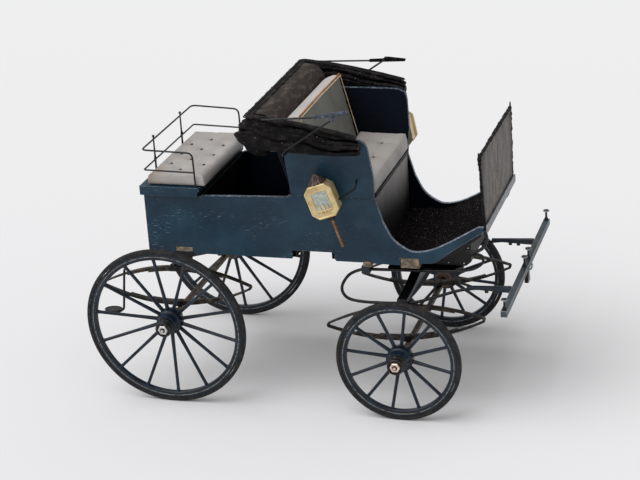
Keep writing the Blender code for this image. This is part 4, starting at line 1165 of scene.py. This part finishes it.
def stuffed(name, parts, finishes, node_name, held, buttons=(), cap=1.2, voxel=1.1, pressure=4.0):
    """A stuffed seat: its cover is remeshed and blown up as cloth, held where it rests and at each button."""
    mesh = mesh_of(name, parts)
    mesh.transform(Matrix.Scale(CLOTH_SCALE, 4))
    obj = bpy.data.objects.new(name + "_cover", mesh)
    bpy.context.collection.objects.link(obj)
    finer = obj.modifiers.new("finer", "REMESH")
    finer.mode = "VOXEL"
    finer.voxel_size = voxel * MM * CLOTH_SCALE
    graph = bpy.context.evaluated_depsgraph_get()
    fine = bpy.data.meshes.new_from_object(obj.evaluated_get(graph))
    obj.modifiers.clear()
    obj.data = fine
    start, still = pressed(read_points(fine) / (CLOTH_SCALE * MM) + ORIGIN, held, buttons)
    write_points(fine, (start - ORIGIN) * CLOTH_SCALE * MM)
    start = blown_up(obj, start, still, pressure, cap)
    write_points(fine, (start - ORIGIN) * MM)
    bpy.data.objects.remove(obj)
    fine.materials.clear()
    final = settle(name, fine, finishes, "carriage_body", [node_name], 60)
    finer = final.modifiers.new("finer", "SUBSURF")
    finer.levels = finer.render_levels = 1
    return final


def button(spot, way, radius, squash):
    """A low oval button lying square to its way."""
    spot, way = np.asarray(spot, float), unit(np.asarray(way, float))
    return swept([spot - way * 0.5, spot + way * 0.15], ring(radius, 14, squash), dome=0.35)


REAR_BUTTONS = [(-9.3, y) for y in (-25, 0, 25)] + [(4, y) for y in (-39, -13, 13, 39)]
REAR_BUTTONS += [(19.7, y) for y in (-25, 0, 25)]
SEAT_BUTTONS = [(160, 31), (162, -5), (161, -41)]


REST_HEIGHT, SQUAB_REST_HEIGHT = 182.6, 184


def on_the_board(points):
    return points[:, 2] < REST_HEIGHT


def add_seats():
    rear = [(-19.0, 182.0), (31.3, 182.0), (30.8, 189.6), (29.2, 190.9), (-17.0, 190.9), (-18.8, 189.6)]
    rear = [slab(rear, -57.0, 57.0)]
    buttons = [((x, y, 190.9), (0, 0, 1), 2.0, 4.2) for x, y in REAR_BUTTONS]
    finish = ["rear_seat_leather"]
    stuffed("rear_seat_cushion", rear, finish, "rear_cushion", on_the_board, buttons, 0.7)
    # the buttons' dark colour is painted shade in the dimples
    dimples = [button((x, y, 189.4), (0.1, 0, 1), 1.9, 0.6) for x, y in REAR_BUTTONS]
    piece("rear_seat_buttons", dimples, ["dimple_painted_shade"], "carriage_body", slot="seat_leather")

    seat = [(136.4, 182.0), (176.4, 182.0), (176.2, 189.6), (174.8, 195.6), (132.8, 195.6)]
    seat = [tapered(seat, 55.2, 57.6)]
    buttons = [((x, y, 195.6), (0, 0, 1), 1.2, 5.0) for x, y in SEAT_BUTTONS]
    finish = ["seat_leather"]
    stuffed("driving_seat_cushion", seat, finish, "main_cushion", on_the_board, buttons, 1.0)
    caps = [button((x, y, 194.9), (0.1, 0, 1), 1.5, 0.8) for x, y in SEAT_BUTTONS]
    piece("driving_seat_buttons", caps, ["grey_button"], "carriage_body", slot="seat_leather")


def colour_squab(mesh):
    """Faces that look forward are the grey face, whose darker tone is partly the leather's own and partly
    painted shade, and the top, back and ends are the paler band.
    """
    normals = np.empty(len(mesh.polygons) * 3, np.float32)
    mesh.polygons.foreach_get("normal", normals)
    forward = unit(np.array([64.7, 0.0, 17.6]))
    mesh.polygons.foreach_set("material_index", (normals.reshape(-1, 3) @ forward < 0.6).astype(np.int32))


def add_squab():
    """The backrest: a stuffed wedge with a rounded back, a raw leather edge, cream thread and side seams."""
    crown = smooth([(112, 246.0), (105.6, 243.2), (101.4, 237.5), (99.9, 230.6)], 5)
    outline = np.vstack([[(134.6, 182.4), (117.4, 246.3)], crown, [(109.4, 182.4)]])
    points, faces = tapered(outline, 55.2, 58.9)
    behind = np.clip((117 - points[:, 0]) / 17.0, 0, 1) * (points[:, 2] > 200)
    points[:, 1] *= 1 - 0.13 * behind**2
    squab = stuffed(
        "driving_seat_squab",
        [(points, faces)],
        ["squab_face_and_painted_shade", "squab_band"],
        "backrest_squab",
        lambda points: points[:, 2] < SQUAB_REST_HEIGHT,
        cap=0.7,
        voxel=1.2,
        pressure=2.5,
    )
    colour_squab(squab.data)
    y = 59.0
    edge = even([(117.7, -y, 246.3), (117.8, 0, 247.0), (117.7, y, 246.3)], 1.5)
    thread = even([(118.9, -y, 244.9), (119.0, 0, 245.6), (118.9, y, 244.9)], 1.0)
    seam = even([(118.4, y, 245.0), (135.2, 55.6, 183.4)], 1.5)
    parts = [swept(edge, box_section(1.0, 0.8, 0.3), side=(1, 0, 0)), wire(thread, 0.5, 8, mark=1)]
    parts += [wire(seam, 0.4, 8, mark=1), wire(seam * (1, -1, 1), 0.4, 8, mark=1)]
    piece("squab_seams", parts, ["raw_leather", "cream_thread"], "carriage_body", slot="seat_leather")


def add_felt():
    """The felt mat: a thick laid sheet that climbs the toe board, with a matted, uneven top."""
    over = [(176.2, 128.4), (190, 128.7), (200, 128.9), (212, 130.7), (225, 137.4), (238, 143.9), (253, 152.9)]
    under = [
        (176.2, 125.8), (190, 125.8), (200, 125.8), (213.4, 126.2), (225, 133.5), (238, 140.3), (253, 149.5),
    ]
    over = even(smooth([*over, (260.8, 157.4)], 10), count=92)
    under = even(smooth([*under, (261.0, 154.8)], 10), count=92)
    y = np.linspace(-54.2, 54.2, 100)
    sheets = []
    for curve, seed, lift in ((over, 3, 0.35), (under, 5, 0.02)):
        points = drawn_across(curve, y)
        points[:, :, 2] += lift * (waves(points, 9.0, seed) + waves(points, 3.5, seed + 1) * 0.6)
        sheets.append(points)
    mat = [thin_sheet(*sheets)]
    obj = piece("floor_mat", mat, ["felt"], "carriage_body", ["floor_felt"], "felt", crease=60)


# Rails and dash


def mirrored_route(points, bend, step=1.0):
    """A route drawn on the right side and carried over to the left one, with its corners bent."""
    right = [(x, -y, z) for x, y, z in points]
    left = [(x, y, z) for x, y, z in reversed(points)]
    return even(bent(right + left, bend, 8), step)


def add_rear_rail():
    """The rail round the rear seat: two bent wires, and two tapered stanchions with beads and braces."""
    upper = mirrored_route([(24.2, 59.4, 181.8), (23.6, 59.5, 211.6), (-20.2, 60.8, 213.3)], 5)
    lower = mirrored_route([(23.8, 59.4, 194.6), (-19.8, 60.3, 195.8)], 2)
    parts = [wire(upper, 0.75, dome=0.3), wire(lower, 0.7, dome=0.3)]
    for y in (-32, 32):
        z = np.linspace(181.8, 215.2, 20)
        stem = np.column_stack([np.full(20, -20.6), np.full(20, y), z])
        swell = 0.95 - 0.35 * (z - 181.8) / 33.4 + 0.35 * np.exp(-(((z - 196) / 1.6) ** 2))
        parts.append(wire(stem, 1.0, scale=swell))
        bead = [(-1.5, 0), (-1.4, 0.5), (-0.9, 0.75), (0.0, 1.25), (0.7, 1.0), (1.15, 0.4), (1.25, 0)]
        parts.append(moved(turned(bead, 16, 0, "z"), (-20.6, y, 215.6)))
        parts.append(wire([(-20.6, y, 199.0), (-20.2, y * 1.09, 195.9)], 0.5, 8, dome=0.3))
    piece("rear_rail_wire", parts, ["rail_iron"], "carriage_body", ["rear_seat_rail"], "black_iron")


DASH_LOW, DASH_HEIGHT, DASH_HALF, DASH_FLARE, DASH_ROWS, DASH_COLUMNS = 156.6, 61.0, 57.2, 6.4, 64, 110


def dash_middle(y, z):
    """The dash's mean x at a height: a lean, a crease up the middle, and puckers at its laced sides."""
    share = (z - DASH_LOW) / DASH_HEIGHT
    crease = -0.5 * np.exp(-((y / 1.3) ** 2))
    pucker = 0.16 * np.sin(z * 0.9) * np.clip((np.abs(y) - 50) / 10, 0, 1)
    sag = 0.25 * np.sin(y * 0.11 + 1.0) * np.sin(share * 3.0)
    return 265.55 - 1.6 * share + crease + pucker + sag


def add_dash():
    """The dash: stretched leather, its bound iron frame with ears, a top hem, a lower strip and toe irons."""
    share = np.linspace(0, 1, DASH_ROWS)
    y = np.linspace(-1, 1, DASH_COLUMNS)[None] * (DASH_HALF + DASH_FLARE * share)[:, None]
    z = np.broadcast_to((DASH_LOW + DASH_HEIGHT * share)[:, None], y.shape)
    middle = dash_middle(y, z)
    front = np.stack([middle + 0.6, y, z], -1)
    back = np.stack([middle - 0.6, y, z], -1)
    cover, nodes = [thin_sheet(front, back)], ["dash_panel"]
    obj = piece("dash_cover", cover, ["dash_leather"], "carriage_body", nodes, "dash_leather", crease=60)

    strip = block((266.75, 268.2), (-59.8, 59.8), (154.7, 161.3))
    finishes, nodes = ["dash_strip", "bar_edge"], ["dash_rail"]
    piece("dash_lower_strip", [strip], finishes, "carriage_body", nodes, "dash_leather", bevel=0.3, edge=1)

    route = mirrored_route([(265.5, 58.7, 156.2), (263.8, 65.2, 219)], 3, 0.8)
    lumps = 1.2 + 0.26 * waves(route, 11.0, 8) + 0.16 * waves(route, 4.0, 9)
    top = 0.25 * np.clip((route[:, 2] - 216) / 2.5, 0, 1)
    parts = [wire(route, 1.0, 14, scale=lumps + top)]
    for y in (-64.6, 64.6):
        ear = even([(263.8, y, 215), (263.6, y * 1.02, 219), (263.5, y * 1.03, 223)], 0.8)
        parts.append(wire(ear, 1.0, scale=np.linspace(1.25, 0.5, len(ear)), dome=0.4))
    hem = even([(264.3, -62.8, 214.2), (264.3, 62.8, 214.2)], 1.2)
    parts.append(wire(hem, 0.55, 8, scale=1 + 0.25 * waves(hem, 9, 4), mark=1))
    finishes = ["bound_leather", "dash_leather"]
    piece("dash_binding", parts, finishes, "carriage_body", ["dash_frame"], "black_iron")

    toe = [
        (265.6, -57.6, 154.2), (266.4, -57.2, 147.7), (263.6, -56.8, 141), (258.4, -56.6, 136.9),
        (254, -56.4, 136.2), (249.5, -56.4, 137.1),
    ]
    far_toe = [(262.6, -56.6, 152.4), (262.8, -56.6, 146.5), (260.0, -56.6, 141), (254, -56.4, 137.2)]
    for side, sign in SIDES.items():
        route, thick = (toe, 1.4) if side == "right" else (far_toe, 1.0)
        iron = wire(even(smooth(route), 0.8), thick, 14, dome=0.5)
        nodes = [f"toe_iron_{side}"]
        piece(f"dash_toe_iron_{side}", [iron], ["iron"], "carriage_body", nodes, "black_iron", sign)


# Hood and landau irons

HOOD_OUTER, HOOD_INNER, HOOD_ROWS, BACK_DROP = 82.6, 71.9, 64, 15.0
ARM_X = [66.8, 78.7, 93.6, 109, 124.7, 149, 170.5]
ARM_LOW = [227.5, 226.6, 223.8, 223.4, 222.2, 220.9, 221.2]
ARM_HIGH = [251.2, 251.0, 249.3, 247.5, 245.0, 240.2, 235.2]
FOLDS = [(0.27, 0.040, 3.2), (0.33, 0.120, 1.8), (0.58, 0.030, 1.2), (0.80, 0.036, 3.0), (0.75, 0.110, 1.4)]


def hood_lines():
    """Matched outer and inner plan lines of the folded hood, from the right arm's tip round to the left."""
    outer = bent([(171.0, -HOOD_OUTER), (67.2, -HOOD_OUTER), (67.2, HOOD_OUTER), (171.0, HOOD_OUTER)], 9, 10)
    inner = bent([(171.0, -HOOD_INNER), (91.6, -HOOD_INNER), (91.6, HOOD_INNER), (171.0, HOOD_INNER)], 4, 10)
    runs = [(0, 1, 90), (1, 11, 40), (11, 12, 120), (12, 22, 40)]
    marks = [np.linspace(a, b, n, endpoint=False) for a, b, n in runs]
    marks = np.concatenate([*marks, np.linspace(22, 23, 91)])
    index = np.arange(len(outer))
    return [np.stack([np.interp(marks, index, line[:, k]) for k in (0, 1)], 1) for line in (outer, inner)]


def hood_side(line, middle, low, high, seed):
    """One side of the folded leather, up from low to high. A point is line + way * depth, where each fold
    takes deep * exp(-((share - spot - drift) / width)^2) off the depth, the drift sweeps the folds up at
    the rear corners, and slow waves crumple the cloth."""
    share = np.broadcast_to(np.linspace(0, 1, HOOD_ROWS)[None], (len(line), HOOD_ROWS))
    points = np.empty((*share.shape, 3))
    points[:, :, :2] = line[:, None]
    points[:, :, 2] = low[:, None] + share * (high - low)[:, None]
    corner = np.hypot(line[:, 0] - 74.0, np.abs(line[:, 1]) - 80.0)[:, None]
    drift = 0.07 * waves(points * (0.35, 0.35, 0.0), 40.0, seed) + 0.2 * np.exp(-((corner / 15.0) ** 2))
    depth = -2.4 * np.abs(2 * share - 1) ** 5 - 0.9
    for spot, width, deep in FOLDS:
        depth = depth - deep * np.exp(-(((share - spot - drift) / width) ** 2))
    depth = depth + 0.8 * waves(points * (0.5, 0.5, 1.1), 24.0, seed + 3) + 0.3 * waves(points, 7.0, seed + 5)
    points[:, :, :2] += unit(line - middle)[:, None] * np.minimum(depth, 0.0)[:, :, None]
    return points


def leaned(points, line):
    """The back of the hood leans in above and below its fullest fold: x + 11 ((s - 0.4) / 0.6)^1.4 above it
    and x + 9 ((0.4 - s) / 0.4)^1.6 below it, fading out round the corners."""
    share = np.linspace(0, 1, points.shape[1])
    above, below = np.abs((share - 0.4) / 0.6) ** 1.4, np.abs((0.4 - share) / 0.4) ** 1.6
    shift = np.where(share > 0.4, 11 * above, 9 * below)
    fade = np.clip((88 - line[:, 0]) / 16, 0, 1)
    points[:, :, 0] += fade[:, None] * shift[None]
    return points


def add_hood_leather():
    """The hood's leather: flat folds round the seat's back and along both arms, one sheet on its bows."""
    outer, inner = hood_lines()
    low, high = (np.interp(outer[:, 0], ARM_X, heights) for heights in (ARM_LOW, ARM_HIGH))
    behind, between = np.clip((95 - outer[:, 0]) / 10, 0, 1), np.clip((80 - np.abs(outer[:, 1])) / 16, 0, 1)
    low = low - BACK_DROP * behind * between
    middle = (outer + inner) / 2
    outside = leaned(hood_side(outer, middle, low, high, 11), outer)
    inside = hood_side(inner, middle, low, high - 1.6, 12)
    loops = np.concatenate([outside, inside[:, ::-1]], axis=1)
    tip = np.ones(len(loops))
    tip[:8] = np.linspace(0.82, 1, 8) ** 0.5
    tip[-8:] = tip[:8][::-1]
    centre = loops.mean(1, keepdims=True)
    loops = centre + (loops - centre) * tip[:, None, None]
    leather_sheet, finish = [loft(list(loops))], ["hood_leather"]
    obj = piece("hood_leather_folds", leather_sheet, finish, "hood", ["hood_stack"], "hood_leather", crease=70)


def top_line(inset, count):
    """The flat frame's line on the folded hood, a distance in from its outer edge."""
    near, ahead = HOOD_OUTER - 0.6 - inset, 170.2 - inset * 0.3
    corners = [(ahead, -near), (77.6 + inset, -near), (76.2 + inset, near), (ahead, near)]
    line = even(bent(corners, 3, 8), count=count)
    return np.column_stack([line, np.interp(line[:, 0], ARM_X, ARM_HIGH)])


def add_hood_strip():
    """The flat top frame: a grooved strip all round, with torn leather lumps along both its edges."""
    section = [(-3.3, 0.5), (-3.2, -0.9), (3.2, -0.9), (3.3, 0.6), (2.7, 1.0), (0.9, 1.05), (0.6, 0.4)]
    section = np.array([*section, (-0.2, 0.4), (-0.5, 1.05), (-2.8, 1.0)])
    line = top_line(3.6, 420) + (0, 0, 0.7)
    strip = loft(list(strip_rings(line, section, 1 + 0.06 * waves(line, 16, 21))))
    torn = top_line(7.0, 520) + (0, 0, 0.5)
    torn[:, 2] += 0.4 * waves(torn, 7, 31)
    ragged = 0.6 + 0.35 * waves(torn, 5.0, 33) + 0.25 * waves(torn, 2.4, 34)
    tufts = wire(torn, 0.9, 9, scale=np.clip(ragged, 0.2, 1.4))
    edge = top_line(0.4, 560) + (0, 0, 0.4)
    frayed = 0.55 + 0.35 * waves(edge, 4.0, 37) + 0.25 * waves(edge, 2.0, 38)
    tufts_outside = wire(edge, 0.8, 9, scale=np.clip(frayed, 0.2, 1.2))
    parts = [strip, tufts, tufts_outside]
    piece("hood_top_strip", parts, ["hood_strip"], "hood", slot="hood_leather", crease=50)


def strip_rings(line, section, lumps):
    """The strip's section stood level at each point of its line."""
    across = unit(np.cross((0, 0, 1.0), np.gradient(line, axis=0)))
    rings = line[:, None] + across[:, None] * (section[None, :, :1] * lumps[:, None, None])
    rings[:, :, 2] += section[None, :, 1]
    return rings


def add_hood_lining():
    """The dusty lining sheet that hangs from the rear strip down to the squab's back."""
    y = np.linspace(-71.0, 71.0, 90)
    run = smooth([(80.5, 251.6), (86, 251.5), (92, 250.6), (97, 247.2), (101.0, 241.4), (101.6, 233.0)], 8)
    points = drawn_across(run, y)
    points[:, :, 2] += 0.25 * waves(points, 34.0, 41) + 0.1 * waves(points, 9.0, 42)
    lining = [thin_sheet(points, points - (0, 0, 0.7))]
    obj = piece("hood_lining_sheet", lining, ["hood_lining"], "hood", slot="hood_leather", crease=60)


ROD_X, ROD_Z, ROD_Y, STRUT_Y = 153.0, 253.0, 86.2, 84.0


def add_landau_irons():
    """Each side's landau irons: a bent strut, a rod along the hood and a straight lever on a hinge."""
    foot_y = -lean(QUARTER_Y, 220.3) - 0.5
    route = [
        (ROD_X, -STRUT_Y, ROD_Z), (110.4, -STRUT_Y, 224.6), (109.6, -STRUT_Y, 220.3), (109.6, foot_y, 220.3),
    ]
    strut = wire(even(bent(route, 2.4), 1.0), 0.8, dome=0.4)
    knuckle = wire([(ROD_X, -STRUT_Y + 0.8, ROD_Z), (ROD_X, -ROD_Y + 1.2, ROD_Z)], 1.6, 16)
    right = [(137.5, 253.4), (150.2, 255.4), (151.4, 252.0), (154.6, 252.0), (156.2, 256.4), (165.4, 258.2)]
    left = [(137.5, 249.2), (152, 249.8), (169.4, 250.6), (169.8, 252.9), (154.8, 254.2), (151.2, 254.2)]
    levers = {
        "right": [*right, (166.4, 261.2), (152.0, 258.8), (137.5, 256.2)],
        "left": [*left, (150.0, 252.6), (137.5, 251.8)],
    }
    rods = {"right": [(95, 251.2), (138.5, 254.7)], "left": [(88.4, 248.6), (138.5, 250.4)]}
    hinge = wire([(ROD_X, -ROD_Y - 1.1, ROD_Z), (ROD_X, -ROD_Y + 0.85, ROD_Z)], 1.3, 14, dome=0.2, mark=1)
    pair("landau_strut_iron_*", [strut, knuckle], ["iron"], "carriage_body", "landau_strut_*", "black_iron")
    for side, sign in SIDES.items():
        rod = even([(x, -ROD_Y, z) for x, z in rods[side]], 2)
        lever = slab(rounded(levers[side], 0.6, 2), -ROD_Y - 0.85, -ROD_Y + 0.85, "y", (1, 1, 1))
        parts = [wire(rod, 0.75, dome=0.4), lever, hinge]
        finishes = ["iron", "lever_iron" if side == "right" else "bound_leather"]
        body = f"landau_rod_{side}"
        piece(f"landau_lever_{side}", parts, finishes, body, [body], "black_iron", sign, bevel=0.25)


# Lamps

LAMP_Y, CHIMNEY_SHIFT = 74.0, (0, 1.4, 0)
LAMP_PLACES = {"right": (138.0, 182.0, 0.33), "left": (166.0, 194.0, 0.19)}


def octagon(width, height, cut, y):
    """An eight-sided ring across the lamp at a depth y, with softened corners."""
    w, h = width / 2, height / 2
    corners = [
        (-w + cut, -h), (w - cut, -h), (w, -h + cut), (w, h - cut), (w - cut, h), (-w + cut, h), (-w, h - cut),
    ]
    flat = rounded([*corners, (-w, -h + cut)], 0.5, 2)
    return np.column_stack([flat[:, 0], np.full(len(flat), y), flat[:, 1]])


def lamp_case():
    """A gilt box: a wide bevelled frame, an inner step, and a sunk mirror with three prongs on a sill."""
    rings = [
        (21.4, 28.0, 4.2, 7.4), (21.4, 28.0, 4.2, -3.2), (23.6, 28.2, 4.8, -3.5), (24.0, 28.4, 4.9, -4.2),
        (24.0, 28.4, 4.9, -5.6), (22.8, 27.2, 4.6, -6.3), (21.4, 25.8, 4.2, -6.35), (20.6, 25.0, 3.9, -5.9),
        (14.2, 18.4, 1.6, -4.9), (13.4, 17.6, 1.2, -5.3), (13.0, 17.2, 1.0, -4.9),
    ]
    shell = loft([octagon(*values) for values in rings])
    glass = loft([octagon(12.9, 17.1, 1.0, -4.88), octagon(12.9, 17.1, 1.0, -5.02)], 1)
    sill = swept([(-6.6, -5.2, -7.4), (6.6, -5.2, -7.4)], box_section(1.6, 0.8, 0.2), side=(0, 0, 1))
    flat = box_section(1.4, 0.7, 0.2)
    prongs = [swept([(x, -5.3, -9.6), (x, -5.5, -3.0)], flat, side=(1, 0, 0)) for x in (-3.4, 0.2, 3.6)]
    return [shell, glass, *prongs, sill]


def lamp_hook(side):
    """The black wire that hangs the lamp from the seat's side."""
    route = {
        "right": [(147, -69.4, 179), (163.4, -69.4, 190.4), (164.4, -68.4, 194)],
        "left": [(165.4, -68, 194)],
    }[side]
    route.append((163.1, -lean(QUARTER_Y, 195.0) - 0.3, 195.0))
    return wire(even(bent(route, 3), 0.8), 0.8, 10, dome=0.2, mark=2)


def add_lamps():
    cone = [(14.4, 0), (14.4, 6.9), (14.7, 7.1), (15.3, 6.8), (21.2, 1.9), (22.3, 0.9), (22.5, 0)]
    collar = [(-14.0, 0), (-14.0, 3.0), (-14.6, 3.2), (-17.4, 3.2), (-18.4, 2.6), (-18.4, 0)]
    stem = [
        (-17.6, 0), (-17.6, 1.5), (-19.5, 1.7), (-21, 1.2), (-41.5, 1.25), (-42.6, 1.0), (-43, 0.5), (-43, 0),
    ]
    chimney = moved(turned(cone, 72, 0, "z", 18, 0.05), CHIMNEY_SHIFT)
    tail = [turned(collar, 24, 1, "z"), turned(stem, 18, 0, "z")]
    tail = [moved(part, CHIMNEY_SHIFT) for part in tail]
    for side, sign in SIDES.items():
        x, z, tilt = LAMP_PLACES[side]
        case, top, tails = (
            [moved(part, (x, -LAMP_Y, z), tilt=-tilt) for part in parts]
            for parts in (lamp_case(), [chimney], tail)
        )
        body = f"lamp_{side}"
        case.append(lamp_hook(side))
        finishes, nodes = ["gilt", "mirror", "iron"], [f"lamp_case_{side}"]
        piece(f"lamp_gilt_case_{side}", case, finishes, body, nodes, "lamp_gilt", sign, crease=24)
        piece(f"lamp_cone_{side}", top, ["chimney"], body, [f"lamp_chimney_{side}"], "copper", sign)
        piece(f"lamp_tail_{side}", tails, ["copper", "iron"], body, [f"lamp_stem_{side}"], "copper", sign)


# The whole carriage

for build in (
    add_wheels, add_axles, add_springs, add_steps, add_wheel_irons, add_fore_blocks, add_splinter_bar,
    add_sides, add_inner_boards, add_seats, add_squab, add_felt, add_rear_rail, add_dash,
    add_hood_leather, add_hood_strip, add_hood_lining, add_landau_irons, add_lamps,
):
    build()
